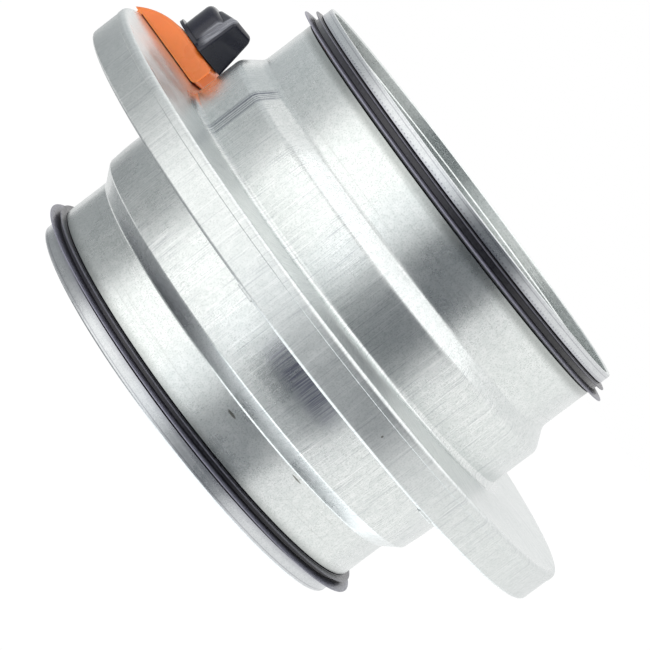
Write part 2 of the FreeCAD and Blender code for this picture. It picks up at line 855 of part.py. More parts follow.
def pinion():
    teeth = int(SIZES["pinion_teeth"])
    module = SIZES["tooth_module"]
    pitch = teeth * module / 2
    base = pitch * math.cos(math.radians(SIZES["pressure_angle"]))
    tip = pitch + SIZES["tooth_addendum"] * module
    root = pitch - SIZES["tooth_dedendum"] * module
    points = []
    for k in range(teeth):
        centre = 2 * math.pi * k / teeth + math.pi / 2
        for radius in [root] + flank_radii(base, tip):
            points.append((radius, centre - flank_angle(teeth, max(radius, base), SIZES["tooth_backlash"])))
        for radius in flank_radii(tip, base) + [root]:
            points.append((radius, centre + flank_angle(teeth, max(radius, base), SIZES["tooth_backlash"])))
    corners = [FreeCAD.Vector(r * math.cos(a), r * math.sin(a), 0) for r, a in points]
    face = Part.Face(Part.makePolygon(corners + [corners[0]]))
    wheel = doc.addObject("Part::Feature", "pinion_wheel")
    wheel.Shape = face.extrude(FreeCAD.Vector(0, 0, SIZES["pinion_width"]))
    wheel.Placement.Base = FreeCAD.Vector(knob_x.value, knob_y.value, pinion_z.value)
    wheel.Placement.Rotation = FreeCAD.Rotation(FreeCAD.Vector(0, 0, 1), 180.0)
    shaft_z = pinion_z + size("pinion_width")
    shaft = cylinder("pinion_shaft", size("shaft_radius"), hub_top_z - size("hub_edge_radius") - shaft_z,
                     knob_x, knob_y, shaft_z)
    return fuse("drive_pinion", [wheel, shaft])


# Guides: blocks with a groove for the ring's outer edge, riveted to the rear wall
def ring_guides():
    guides = []
    gap = size("guide_clearance")
    for i in range(BLADES):
        name = "ring_guide_" + str(i + 1)
        body = new_body(name)
        low_r, high_r = guide_inner_r, guide_outer_r
        groove = rotor_outer_r + gap
        corners = [
            (low_r, floor_z),
            (high_r, floor_z),
            (high_r, rotor_top_z + gap + size("guide_lip")),
            (low_r, rotor_top_z + gap + size("guide_lip")),
            (low_r, rotor_top_z + gap),
            (groove, rotor_top_z + gap),
            (groove, rotor_z - gap),
            (low_r, rotor_z - gap),
        ]
        sketch = outline(body, name + "_profile", "XZ_Plane", corners)
        sweep = body.newObject("PartDesign::Revolution", name + "_turn")
        sweep.Profile = sketch
        sweep.ReferenceAxis = (sketch, ["V_Axis"])
        bind(sweep, "Angle", size("guide_width") / guide_rivet_circle * (180.0 / math.pi))
        sweep.Midplane = True
        body.Tip = sweep
        x, y = guide_rivet_circle, as_size(0.0)
        hole = cylinder(name + "_hole", size("guide_rivet_radius"), guide_rivet_depth, x, y, floor_z)
        guide = cut(name + "_drilled", body, [hole])
        bind(guide, "Placement.Rotation.Angle", guide_azimuth(i))
        guides.append(guide)
    return group("ring_guides", guides)


guide_rivet_depth = size("level_pitch") * 2


def guide_rivets():
    rivets = []
    for i in range(BLADES):
        name = "guide_rivet_" + str(i + 1)
        x, y = polar(guide_rivet_circle, guide_azimuth(i))
        head_z = drum_z - size("guide_head_height")
        head = cylinder(name + "_head", size("guide_rivet_head"), size("guide_head_height"), x, y, head_z)
        shank = cylinder(name + "_shank", size("guide_rivet_radius"), t + guide_rivet_depth, x, y, drum_z)
        rivets.append(fuse(name, [head, shank]))
    return group("guide_rivets", rivets)


# Cover: parallel sides, a nose that falls to the drum's edge, and a skirt hooked behind the drum
def knob_cover():
    body = new_body("cover_block")
    inner_r, outer_r = neck_r + size("cover_neck_gap"), drum_r + size("cover_skirt")
    rim_r = drum_r + size("cover_rim_clearance")
    hook_low = drum_z - size("cover_hook_drop")
    hook_top = drum_z - size("cover_rim_clearance")
    hook_r = drum_r - size("cover_hook_reach")
    foot = size("cover_foot_radius")
    nose_r = size("cover_nose_radius")
    base_z = face_z + size("cover_base_gap")
    nose_start_r = drum_r - size("cover_nose_inset")
    block_r = nose_start_r + size("cover_nose_run")
    nose_end_z = cover_top_z - nose_r + root(nose_r * nose_r - size("cover_nose_run") * size("cover_nose_run"))
    corners = [
        (inner_r + foot, base_z),
        (hook_r, base_z),
        (hook_r, hook_low),
        (block_r, hook_low),
        (block_r, nose_end_z, nose_r),
        (nose_start_r, cover_top_z),
        (inner_r, cover_top_z),
        (inner_r, base_z + foot, foot),
    ]
    sketch = outline(body, "cover_profile", "XZ_Plane", corners)
    pad(body, sketch, "cover_pad", size("cover_half_width") * 2, centred=True)
    top_edges = []
    edge_r = SIZES["cover_edge_radius"]
    for number, edge in enumerate(body.Tip.Shape.Edges, start=1):
        middle = edge.CenterOfMass
        side = abs(abs(middle.y) - SIZES["cover_half_width"]) < 0.01
        low, high = edge.BoundBox.ZMin, edge.BoundBox.ZMax
        along_top = side and high > cover_top_z.value - 0.01 and middle.x > inner_r.value + 1
        inner_end = abs(middle.x - inner_r.value) < 0.01 and low > cover_top_z.value - 0.01
        if along_top or inner_end:
            top_edges.append((number, edge_r, edge_r))
    rounded = doc.addObject("Part::Fillet", "cover_rounded")
    rounded.Base = body
    rounded.Edges = top_edges
    outside = cylinder("cover_outside", outer_r, cover_top_z - hook_low, 0.0, 0.0, hook_low)
    curved = doc.addObject("Part::Common", "cover_curved")
    curved.Base = rounded
    curved.Tool = outside
    drum_room = cylinder("cover_drum_room", rim_r, face_z - hook_top, 0.0, 0.0, hook_top)
    wall = size("cover_wall")
    tongue_z = drum_z + size("cover_tongue_rise")
    beside_width = size("cover_half_width") - size("cover_tongue_half_width")
    sides = []
    for side, low_y in (("left", size("cover_tongue_half_width")), ("right", -size("cover_half_width"))):
        sides.append(box("cover_beside_tongue_" + side, size("cover_foot_radius") * 2, beside_width,
                         face_z - tongue_z, outer_r - size("cover_foot_radius") * 2, low_y, tongue_z))
    around = cylinder("cover_tongue_room", outer_r + size("cover_foot_radius"), face_z - tongue_z, 0.0, 0.0, tongue_z)
    tongue = cylinder("cover_tongue_round", drum_r + size("cover_tongue_skirt"), face_z - tongue_z, 0.0, 0.0,
                      tongue_z)
    trim = cut("cover_tongue_trim", around, [tongue])
    hollow = box("cover_hollow", nose_start_r - inner_r, (size("cover_half_width") - wall) * 2,
                 size("cover_height") - wall, inner_r + wall, wall - size("cover_half_width"), face_z)
    bore_r = size("shaft_radius") + size("shaft_clearance")
    bore = cylinder("cover_bore", bore_r, size("cover_height") * 2, knob_circle, 0.0, face_z)
    cover = cut("knob_cover", curved, [hollow, bore, drum_room, trim] + sides)
    bind(cover, "Placement.Rotation.Angle", as_size(KNOB_AZIMUTH))
    return cover


# Bush for the knob shaft, flanged under the front wall
def shaft_bush():
    flange_z = ceiling_z - size("bush_flange_height")
    flange = cylinder("bush_flange", size("bush_flange_radius"), size("bush_flange_height"), knob_x, knob_y,
                      flange_z)
    barrel = cylinder("bush_barrel", size("bush_radius"), t + size("bush_proud"), knob_x, knob_y, ceiling_z)
    outer = fuse("bush_outer", [flange, barrel])
    bore_r = size("shaft_radius") + size("shaft_clearance")
    depth = size("bush_flange_height") + t + size("bush_proud")
    bore = cylinder("bush_bore", bore_r, depth, knob_x, knob_y, flange_z)
    return cut("shaft_bush", outer, [bore])


def knob_collar():
    disc = cylinder("collar_disc", size("collar_radius"), size("collar_height"), knob_x, knob_y, collar_z)
    bore = cylinder("collar_bore", size("shaft_radius"), size("collar_height"), knob_x, knob_y, collar_z)
    return cut("knob_collar", disc, [bore])


# Knob: a round hub with a bar that points outward and falls away over the hub
def knob():
    hub = cylinder("hub_block", size("hub_radius"), size("hub_height"), knob_x, knob_y, hub_z)
    doc.recompute()
    hub_round = doc.addObject("Part::Fillet", "hub_rounded")
    hub_round.Base = hub
    edges = []
    for number, edge in enumerate(hub.Shape.Edges, start=1):
        if isinstance(edge.Curve, Part.Circle) and abs(edge.CenterOfMass.z - hub_top_z.value) < 0.01:
            edges.append((number, SIZES["hub_edge_radius"], SIZES["hub_edge_radius"]))
    hub_round.Edges = edges
    bar = new_body("knob_bar")
    reach, tall = size("bar_reach"), size("bar_height")
    tip = reach - size("bar_end_lean")
    corners = [
        (-size("bar_tail"), 0.0),
        (reach, 0.0),
        (tip, tall - size("bar_corner_radius"), size("bar_corner_radius")),
        (tip - size("bar_corner_radius"), tall),
        (-size("bar_tail"), size("bar_tail_height")),
    ]
    sketch = outline(bar, "bar_profile", "XZ_Plane", corners)
    pad(bar, sketch, "bar_pad", size("bar_width"), centred=True)
    bind(bar, "Placement.Base.x", knob_x)
    bind(bar, "Placement.Base.y", knob_y)
    bind(bar, "Placement.Base.z", hub_z)
    bind(bar, "Placement.Rotation.Angle", size("bar_bearing"))
    grip = fuse("knob_grip", [hub_round, rounded_bar(tapered_bar(bar))])
    bore = cylinder("knob_bore", size("shaft_radius"), size("hub_height") - size("hub_edge_radius"),
                    knob_x, knob_y, hub_z)
    return cut("knob", grip, [bore])


def tapered_bar(bar):
    """Both long sides of the bar lean in a little toward its top."""
    wedges = []
    for side in (1, -1):
        body = new_body("bar_side_" + ("left" if side > 0 else "right"))
        half, taper, tall = size("bar_width") / 2 * side, size("bar_taper") / 2 * side, size("bar_height")
        corners = [(half, 0.0), (half + taper, 0.0), (half + taper, tall), (half - taper, tall)]
        sketch = outline(body, body.Name + "_profile", "YZ_Plane", corners)
        pad(body, sketch, body.Name + "_pad", size("bar_reach") * 4, centred=True)
        bind(body, "Placement.Base.x", knob_x)
        bind(body, "Placement.Base.y", knob_y)
        bind(body, "Placement.Base.z", hub_z)
        bind(body, "Placement.Rotation.Angle", size("bar_bearing"))
        wedges.append(body)
    return cut("bar_tapered", bar, wedges)


def rounded_bar(bar):
    """The edges along the top of the bar and down its outer end are rounded."""
    doc.recompute()
    edges = []
    edge_r = SIZES["bar_edge_radius"]
    for number, edge in enumerate(bar.Shape.Edges, start=1):
        ends = [vertex.Point for vertex in edge.Vertexes]
        reach = max(math.hypot(p.x - knob_x.value, p.y - knob_y.value) for p in ends)
        top = max(p.z for p in ends)
        level = abs(ends[0].z - ends[-1].z) < 0.01
        if top > hub_z.value + edge_r and reach > SIZES["bar_tail"] * 3 and not level:
            edges.append((number, edge_r, edge_r))
    rounded = doc.addObject("Part::Fillet", "bar_rounded")
    rounded.Base = bar
    rounded.Edges = edges
    return rounded


# Clip under the bush, which holds the shaft in
def shaft_clip():
    top = ceiling_z - size("bush_flange_height") - size("collar_gap")
    ring = cylinder("clip_ring", size("clip_radius"), size("clip_height"), knob_x, knob_y,
                    top - size("clip_height"))
    bore = cylinder("clip_bore", size("shaft_radius"), size("clip_height"), knob_x, knob_y,
                    top - size("clip_height"))
    return cut("shaft_clip", ring, [bore])


# Pointer: a stud on the ring that shows in the front wall's window
def position_pointer():
    x, y = polar(pointer_circle, pointer_azimuth)
    top = face_z + size("pointer_proud")
    pin = cylinder("pointer_pin", size("pointer_radius"), top - rotor_top_z, x, y, rotor_top_z)
    foot = cylinder("pointer_foot", size("pointer_radius") * 2, t, x, y, rotor_top_z)
    return fuse("position_pointer", [foot, pin])


def scale_plate():
    body = new_body("scale_sheet")
    inner, outer = drum_r - size("scale_inner_inset"), drum_r - size("scale_outer_inset")
    start = pointer_azimuth - size("scale_half_angle")
    end = pointer_azimuth + size("scale_half_angle")
    corners = [
        (*polar(inner, start), inner),
        (*polar(inner, end),),
        (*polar(outer, end), -outer),
        (*polar(outer, start),),
    ]
    sketch = outline(body, "scale_outline", "XY_Plane", corners, face_z)
    pad(body, sketch, "scale_pad", size("scale_sheet"))
    window = arc_slot("scale_window", face_z, size("scale_sheet"), pointer_circle, pointer_azimuth,
                      window_half_angle, size("window_half_width"))
    return cut("scale_plate", body, [window])


# Measuring nipples, one on each wall of the drum, and their caps
def nipple(name, wall_z, direction):
    x, y = nipple_spot()
    length, flange = size("nipple_length"), size("nipple_flange_height")
    if direction > 0:
        low, flange_z, root_z = wall_z, wall_z, wall_z - t
    else:
        low, flange_z, root_z = wall_z - length, wall_z - flange, wall_z
    parts = [
        cylinder(name + "_tube", size("nipple_radius"), length, x, y, low),
        cylinder(name + "_flange", size("nipple_flange_radius"), flange, x, y, flange_z),
        cylinder(name + "_root", size("nipple_radius"), t, x, y, root_z),
    ]
    solid = fuse(name + "_solid", parts)
    bore = cylinder(name + "_bore", size("nipple_bore"), length + t * 2, x, y, low - t)
    return cut(name, solid, [bore])


def nipple_cap(name, wall_z, direction):
    x, y = nipple_spot()
    flange, length, wall = size("nipple_flange_height"), size("nipple_length"), size("cap_wall")
    inside = size("nipple_radius") + size("cap_clearance")
    if direction > 0:
        cap_low = wall_z + length - size("cap_length") + wall
        hole_low = cap_low
    else:
        cap_low = wall_z - length - wall
        hole_low = wall_z - length
    shell = cylinder(name + "_shell", inside + wall, size("cap_length"), x, y, cap_low)
    hole = cylinder(name + "_hole", inside, size("cap_length") - wall, x, y, hole_low)
    return cut(name, shell, [hole])


nodes = [rear_shell(), front_shell(), rear_gasket(), front_gasket()]
nodes += [pivot_rivets(), pivot_spacers(), ring_guides(), guide_rivets()]
nodes += [knob_cover(), shaft_bush(), scale_plate()]
nodes += [nipple("front_nipple", face_z, 1), nipple("rear_nipple", drum_z, -1)]
nodes += [nipple_cap("front_nipple_cap", face_z, 1), nipple_cap("rear_nipple_cap", drum_z, -1)]
nodes += [rotor_ring(), position_pointer()]
nodes += [pinion(), knob_collar(), knob(), shaft_clip()]
nodes += [blade(i) for i in range(BLADES)]
nodes += [blade_stud(i) for i in range(BLADES)]
doc.recompute()

for item in doc.Objects:
    for word in ("Invalid", "Error"):
        if word in item.State:
            raise RuntimeError(item.Name + " is " + word)
for node in nodes:
    if node.Shape.isNull() or not node.Shape.isValid():
        raise RuntimeError(node.Label + " has no valid shape")

track_error = 0.0
for k in range(21):
    offset = (stud_track(SIZES["blade_swing_angle"] * k / 20) - slot_line().Center).Length - slot_line().Radius
    track_error = max(track_error, abs(offset))
print("largest distance of the stud from its slot's centre line:", round(track_error, 4))

os.makedirs("parts", exist_ok=True)
for node in nodes:
    node.Shape.exportStep(os.path.join("parts", node.Label + ".step"))
    print(node.Label, "solids", len(node.Shape.Solids), "volume", round(node.Shape.Volume, 1))
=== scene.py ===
import json
import math
from collections import namedtuple

import bmesh
import bpy
from mathutils import Matrix, Vector


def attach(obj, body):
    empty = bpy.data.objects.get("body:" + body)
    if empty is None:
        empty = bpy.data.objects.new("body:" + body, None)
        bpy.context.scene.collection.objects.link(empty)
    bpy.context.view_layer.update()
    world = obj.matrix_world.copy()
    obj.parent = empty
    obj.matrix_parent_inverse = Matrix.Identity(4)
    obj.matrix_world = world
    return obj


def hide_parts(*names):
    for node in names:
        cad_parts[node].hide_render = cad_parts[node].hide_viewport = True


# Looks for a round duct iris damper. Metres throughout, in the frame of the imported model:
# Z is the duct axis, the rear spigot ends at height zero and the knob is on the front face at minus Y.
# Named sizes are in millimetres and angles in degrees. An azimuth turns from plus X toward plus Y.

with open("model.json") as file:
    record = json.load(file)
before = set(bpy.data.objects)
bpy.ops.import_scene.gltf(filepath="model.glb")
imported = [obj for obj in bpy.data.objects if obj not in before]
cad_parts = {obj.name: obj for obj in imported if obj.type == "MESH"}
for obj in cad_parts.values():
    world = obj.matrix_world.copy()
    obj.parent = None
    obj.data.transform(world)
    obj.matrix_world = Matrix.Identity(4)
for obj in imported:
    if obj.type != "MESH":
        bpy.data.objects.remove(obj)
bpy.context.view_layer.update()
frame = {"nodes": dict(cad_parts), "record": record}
nodes = frame["nodes"]

MM = 0.001

# Sheet metal: radii, and heights along the duct from the rear end
SHEET = 0.6
DUCT_R = 62.25
NECK_R = 66.55
DRUM_R = 96.5
HEM_R = DUCT_R - 2 * SHEET
REAR_END = 0.0
REAR_CONE = 20.9
REAR_NECK = 25.4
NECK_SWELL = 0.45
SWELL_RUN = 5.8
SWELL_BEND = 60.0
DRUM_REAR = 43.1
SEAM = 51.7
SEAM_STEP = 0.15
LAP_GAP = 0.05
LAP_WIDTH = 1.4
DRUM_FACE = 54.3
FRONT_CONE = 69.7
FRONT_SPIGOT = 75.1
FRONT_END = 98.0
FOLD_TAB_AZIMUTHS = (5.3, 50.1)
FOLD_TAB_HALF_WIDTH = 2.65

# Gaskets: the two sides of each ring, then the heights of its tall and its short lip
REAR_GASKET = (4.3, 7.45)
FRONT_GASKET = (90.9, 94.5)
REAR_LIPS = (5.1, 7.05)
FRONT_LIPS = (91.7, 94.1)
GROOVE_DEPTH = 0.9
GROOVE_FLANK = 0.3
GASKET_PROUD = 0.12
LIP_HALF_TIP = 0.15
TALL_LIP_REACH, TALL_LIP_ROOT = 3.8, 1.3
SHORT_LIP_REACH, SHORT_LIP_ROOT = 1.9, 0.6

# Pointer window in the front face, and the ticks beside it
POINTER_CIRCLE = 86.5
POINTER_AZIMUTH = -150.0
WINDOW_HALF_WIDTH = 2.2
WINDOW_HALF_ANGLE = 8.6
WINDOW_END_SHARE = 0.95
TICK_STEP = 1.6
TICK_SPAN = 5.3
TICKS_FROM, TICKS_TO = 89.3, 90.8

# Knob and its cover: heights along the duct, and sizes along and across the bar
KNOB_CIRCLE = 80.0
COVER_END_R = 69.4
KNOB_SIDE_AZIMUTH = -45.5
HUB_R = 7.6
HUB_LOW = 62.25
HUB_TOP = 71.45
HUB_BEND = 2.0
BAR_LOW = 61.4
BAR_TOP = 75.0
BAR_TAIL = 2.4
BAR_REACH = 11.8
BAR_LEAN = 2.4
BAR_WIDTH = 10.6
BAR_TOP_WIDTH = 7.6
BAR_TAIL_DROP = 2.6
BAR_EDGE = 1.1
BAR_CORNER = 2.6


# ---------------------------------------------------------------- material helpers

def empty_material(name):
    material = bpy.data.materials.new(name)
    material.use_nodes = True
    tree = material.node_tree
    tree.nodes.clear()
    return material, tree, tree.nodes.new("ShaderNodeOutputMaterial")


def new_material(name):
    material, tree, output = empty_material(name)
    shader = tree.nodes.new("ShaderNodeBsdfPrincipled")
    link(tree, shader.outputs["BSDF"], output.inputs["Surface"])
    return material, tree, shader


def surface_shader(material):
    return next(node for node in material.node_tree.nodes if node.type == "BSDF_PRINCIPLED")


def link(tree, source, target):
    tree.links.new(source, target)


def math_node(tree, operation, *values):
    node = tree.nodes.new("ShaderNodeMath")
    node.operation = operation
    for place, value in enumerate(values):
        if isinstance(value, (int, float)):
            node.inputs[place].default_value = value
        else:
            link(tree, value, node.inputs[place])
    return node.outputs[0]


def plus(tree, first, second):
    return math_node(tree, "ADD", first, second)


def minus(tree, first, second):
    return math_node(tree, "SUBTRACT", first, second)


def larger(tree, first, second):
    return math_node(tree, "MAXIMUM", first, second)


def times(tree, *values):
    product = values[0]
    for value in values[1:]:
        product = math_node(tree, "MULTIPLY", product, value)
    return product


def noise(tree, vector, scale, detail=3.0, roughness=0.55):
    node = tree.nodes.new("ShaderNodeTexNoise")
    node.inputs["Scale"].default_value = scale
    node.inputs["Detail"].default_value = detail
    node.inputs["Roughness"].default_value = roughness
    link(tree, vector, node.inputs["Vector"])
    return node.outputs["Fac"]


def stretch(tree, value, low, high, to_low=0.0, to_high=1.0):
    """Turns low into one value and high into another, with a smooth step between them."""
    node = tree.nodes.new("ShaderNodeMapRange")
    node.interpolation_type = "SMOOTHSTEP"
    node.inputs["From Min"].default_value = low
    node.inputs["From Max"].default_value = high
    node.inputs["To Min"].default_value = to_low
    node.inputs["To Max"].default_value = to_high
    link(tree, value, node.inputs["Value"])
    return node.outputs["Result"]


def between(tree, value, low, high, soft):
    """One between low and high, zero outside, with soft edges."""
    rise = stretch(tree, value, low - soft, low + soft)
    fall = stretch(tree, value, high + soft, high - soft)
    return times(tree, rise, fall)


def mix_colour(tree, share, first, second):
    node = tree.nodes.new("ShaderNodeMix")
    node.data_type = "RGBA"
    link(tree, share, node.inputs["Factor"])
    for socket, value in ((node.inputs[6], first), (node.inputs[7], second)):
        if isinstance(value, tuple):
            socket.default_value = (*value, 1.0)
        else:
            link(tree, value, socket)
    return node.outputs[2]


def stain(tree, ground, where, strength, tint):
    """The ground colour with a tint laid over it at this place."""
    return mix_colour(tree, times(tree, where, strength), ground, tint)


def bump(tree, shader, height, distance, strength):
    node = tree.nodes.new("ShaderNodeBump")
    node.inputs["Strength"].default_value = strength
    node.inputs["Distance"].default_value = distance
    link(tree, height, node.inputs["Height"])
    link(tree, node.outputs["Normal"], shader.inputs["Normal"])


def object_coordinates(tree):
    return tree.nodes.new("ShaderNodeTexCoord").outputs["Object"]


def split_coordinates(tree):
    split = tree.nodes.new("ShaderNodeSeparateXYZ")
    link(tree, object_coordinates(tree), split.inputs[0])
    return split.outputs


def join_coordinates(tree, *values):
    join = tree.nodes.new("ShaderNodeCombineXYZ")
    for place, value in enumerate(values):
        link(tree, value, join.inputs[place])
    return join.outputs[0]


# ---------------------------------------------------------------- places on the duct

DuctAxes = namedtuple("DuctAxes", "turn_x turn_y height radius")


def duct_axes(tree):
    """Cosine and sine of the azimuth, height along the duct and radius, from the object's coordinates."""
    x, y, z = split_coordinates(tree)
    square = plus(tree, times(tree, x, x), times(tree, y, y))
    radius = larger(tree, math_node(tree, "SQRT", square), MM)
    turn_x = math_node(tree, "DIVIDE", x, radius)
    turn_y = math_node(tree, "DIVIDE", y, radius)
    return DuctAxes(turn_x, turn_y, z, radius)


def duct_grain(tree, axes, per_radian, per_metre, detail=2.0, roughness=0.55):
    """Noise drawn out round the duct or along it: grains to a radian round it, and to a metre along it."""
    across = times(tree, axes.turn_x, per_radian), times(tree, axes.turn_y, per_radian)
    along = times(tree, plus(tree, axes.height, axes.radius), per_metre)
    return noise(tree, join_coordinates(tree, *across, along), 1.0, detail, roughness)


def turn_angle(tree, axes):
    return math_node(tree, "ARCTAN2", axes.turn_y, axes.turn_x)


def at_azimuths(tree, axes, first, last, soft):
    limits = (math.radians(value) for value in (first, last, soft))
    return between(tree, turn_angle(tree, axes), *limits)


def at_heights(tree, axes, low, high, soft):
    return between(tree, axes.height, low * MM, high * MM, soft * MM)


def at_radii(tree, axes, low, high, soft):
    return between(tree, axes.radius, low * MM, high * MM, soft * MM)


def past_height(tree, axes, start, full):
    """Zero at the first height and one at the second, which may be the lower of the two."""
    return stretch(tree, axes.height, start * MM, full * MM)


def spigot_outside(tree, axes):
    return at_radii(tree, axes, 61.9, 62.9, 0.1)


# ---------------------------------------------------------------- zinc-coated sheet

ZINC_GREY = (0.66, 0.695, 0.685)
ZINC_PALE = (0.77, 0.79, 0.785)
GRAIN_TINT = (0.42, 0.45, 0.44)
HAIR_BRIGHT = (0.93, 0.94, 0.94)
HAIR_DARK = (0.38, 0.40, 0.43)
RING_TINT = (0.45, 0.47, 0.46)
BAND_TINT = (0.60, 0.62, 0.62)
PAINTED_SHADE_TINT = (0.22, 0.235, 0.225)
PAINTED_RIM_SHADE = (0.27, 0.27, 0.31)
RIM_LINE_TINT = (0.18, 0.18, 0.20)
RIM_TINT = (0.40, 0.40, 0.455)
RIM_DOT_TINT = (0.12, 0.12, 0.15)
DARK_REFLECTION_TINT = (0.235, 0.24, 0.315)
SEAM_TINT = (0.14, 0.15, 0.20)
NICK_TINT = (0.07, 0.065, 0.04)

RIM_DOTS_PER_RADIAN = 290.0
# Each nick: azimuth, height, and half its width round the duct and along it
NICKS = ((21.1, 17.8, 1.9, 0.45), (34.4, 48.0, 0.3, 0.45), (44.0, 19.8, 2.2, 0.25))


def painted_gasket_shade(tree, axes, zinc):
    """Painted shade on the spigots beside the gaskets, where the lips shade the sheet and show in it as a
    dark reflection.
    """
    front = at_heights(tree, axes, 88.5, 92.0, 1.2)
    rear = times(tree, past_height(tree, axes, 10.8, 7.2), past_height(tree, axes, 6.8, 7.0))
    shade_zone = times(tree, larger(tree, front, rear), spigot_outside(tree, axes))
    return stain(tree, zinc, shade_zone, 0.6, PAINTED_SHADE_TINT)


def spigot_rims(tree, axes, zinc):
    """Darker rims between gasket and end, with painted shade next to each gasket, a fine line near each end
    and a row of dots on the front one.
    """
    outside = spigot_outside(tree, axes)
    # Painted shade on each rim, darkest next to its gasket.
    front = times(tree, past_height(tree, axes, 95.9, 94.8), past_height(tree, axes, 93.8, 94.0))
    rear = times(tree, past_height(tree, axes, 2.2, 4.2), past_height(tree, axes, 5.2, 5.0))
    zinc = stain(tree, zinc, times(tree, larger(tree, front, rear), outside), 0.6, PAINTED_RIM_SHADE)
    front_line = at_heights(tree, axes, 96.90, 97.15, 0.1)
    rear_line = at_heights(tree, axes, 0.85, 1.1, 0.1)
    lines = times(tree, larger(tree, front_line, rear_line), outside)
    zinc = stain(tree, zinc, lines, 0.55, RIM_LINE_TINT)
    ends = larger(tree, past_height(tree, axes, 94.6, 94.8), past_height(tree, axes, 4.2, 4.0))
    zinc = stain(tree, zinc, times(tree, ends, outside), 0.35, RIM_TINT)
    wave = math_node(tree, "SINE", times(tree, turn_angle(tree, axes), RIM_DOTS_PER_RADIAN))
    dots = times(tree, stretch(tree, wave, 0.2, 0.7), at_heights(tree, axes, 95.3, 95.6, 0.1), outside)
    return stain(tree, zinc, dots, 0.55, RIM_DOT_TINT)


def painted_dark_reflection(tree, axes, hairs, zinc):
    """A dark, streaky patch on the rear neck beside the drum: a painted dark reflection."""
    reflection_zone = times(
        tree,
        at_azimuths(tree, axes, 15.0, 35.0, 5.0),
        at_heights(tree, axes, 34.2, 43.5, 2.2),
        at_radii(tree, axes, 66.0, 66.8, 0.1),
    )
    streaky = plus(tree, 0.25, times(tree, stretch(tree, hairs, 0.36, 0.60), 0.75))
    return stain(tree, zinc, times(tree, reflection_zone, streaky), 0.95, DARK_REFLECTION_TINT)


def seam_lines(tree, axes, zinc):
    """Fine lines along the welded seam of the front neck."""
    seam = times(
        tree,
        at_azimuths(tree, axes, -42.2, -38.0, 0.6),
        at_heights(tree, axes, 55.3, 74.5, 1.5),
        at_radii(tree, axes, 62.2, 67.5, 0.3),
    )
    fine_lines = stretch(tree, duct_grain(tree, axes, 300.0, 9.0, 1.0), 0.46, 0.57)
    return stain(tree, zinc, times(tree, seam, fine_lines), 0.85, SEAM_TINT)


def nick(tree, axes, azimuth, height, across, along):
    """A small spot on the sheet, across and along being half its width round the duct and along it."""
    angle = minus(tree, turn_angle(tree, axes), math.radians(azimuth))
    side = math_node(tree, "DIVIDE", times(tree, angle, axes.radius), across * MM)
    rise = math_node(tree, "DIVIDE", minus(tree, axes.height, height * MM), along * MM)
    far = plus(tree, times(tree, side, side), times(tree, rise, rise))
    return stretch(tree, far, 1.0, 0.3)


def nicks(tree, axes, zinc):
    first, *others = [nick(tree, axes, *place) for place in NICKS]
    spots = first
    for spot in others:
        spots = larger(tree, spots, spot)
    return stain(tree, zinc, spots, 0.75, NICK_TINT)


def galvanised_steel(name):
    """Zinc-coated sheet: rolled lines along the duct on the necks and band, spun lines round the spigots."""
    material, tree, shader = new_material(name)
    coordinates = object_coordinates(tree)
    axes = duct_axes(tree)
    brushed = stretch(tree, axes.radius, 64.0 * MM, 66.2 * MM)
    band = stretch(tree, axes.radius, 94.5 * MM, 95.5 * MM)
    flat = at_radii(tree, axes, 69.5, 94.0, 0.6)
    spun = minus(tree, 1.0, brushed)
    hairs = duct_grain(tree, axes, 215.0, 70.0, 2.0, 0.6)
    streaks = duct_grain(tree, axes, 30.0, 16.0, 2.0, 0.5)
    rings = duct_grain(tree, axes, 1.6, 1700.0, 2.0, 0.5)
    grain = noise(tree, coordinates, 2300.0, 2.0, 0.6)
    mottle = noise(tree, coordinates, 620.0, 4.0, 0.7)
    cloud = noise(tree, coordinates, 60.0, 3.0)

    zinc = mix_colour(tree, stretch(tree, mottle, 0.3, 0.72), ZINC_GREY, ZINC_PALE)
    zinc = stain(tree, zinc, stretch(tree, grain, 0.52, 0.34), 0.42, GRAIN_TINT)
    zinc = stain(tree, zinc, times(tree, stretch(tree, hairs, 0.55, 0.72), brushed), 0.55, HAIR_BRIGHT)
    zinc = stain(tree, zinc, times(tree, stretch(tree, hairs, 0.44, 0.28), brushed), 0.55, HAIR_DARK)
    zinc = stain(tree, zinc, times(tree, stretch(tree, rings, 0.42, 0.25), spun), 0.30, RING_TINT)
    zinc = stain(tree, zinc, band, 0.30, BAND_TINT)
    # Painted shade on the spigots beside the gaskets.
    zinc = painted_gasket_shade(tree, axes, zinc)
    # Painted shade on the rims next to the gaskets, and the rims' own lines and dots.
    zinc = spigot_rims(tree, axes, zinc)
    # Painted dark reflection on the rear neck beside the drum.
    zinc = painted_dark_reflection(tree, axes, hairs, zinc)
    zinc = seam_lines(tree, axes, zinc)
    link(tree, nicks(tree, axes, zinc), shader.inputs["Base Color"])
    shader.inputs["Metallic"].default_value = 1.0

    rough = plus(tree, stretch(tree, cloud, 0.3, 0.7, 0.21, 0.29), times(tree, mottle, 0.06))
    rough = plus(tree, rough, times(tree, band, 0.09))
    rough = plus(tree, rough, times(tree, flat, 0.05))
    link(tree, rough, shader.inputs["Roughness"])

    lines = plus(tree, times(tree, hairs, 0.5), times(tree, streaks, 1.1))
    lines = times(tree, lines, brushed, minus(tree, 1.0, times(tree, flat, 0.85)))
    relief = plus(tree, lines, times(tree, rings, spun, 0.45))
    relief = plus(tree, relief, times(tree, grain, 0.22))
    bump(tree, shader, relief, 0.06 * MM, 0.6)
    return material


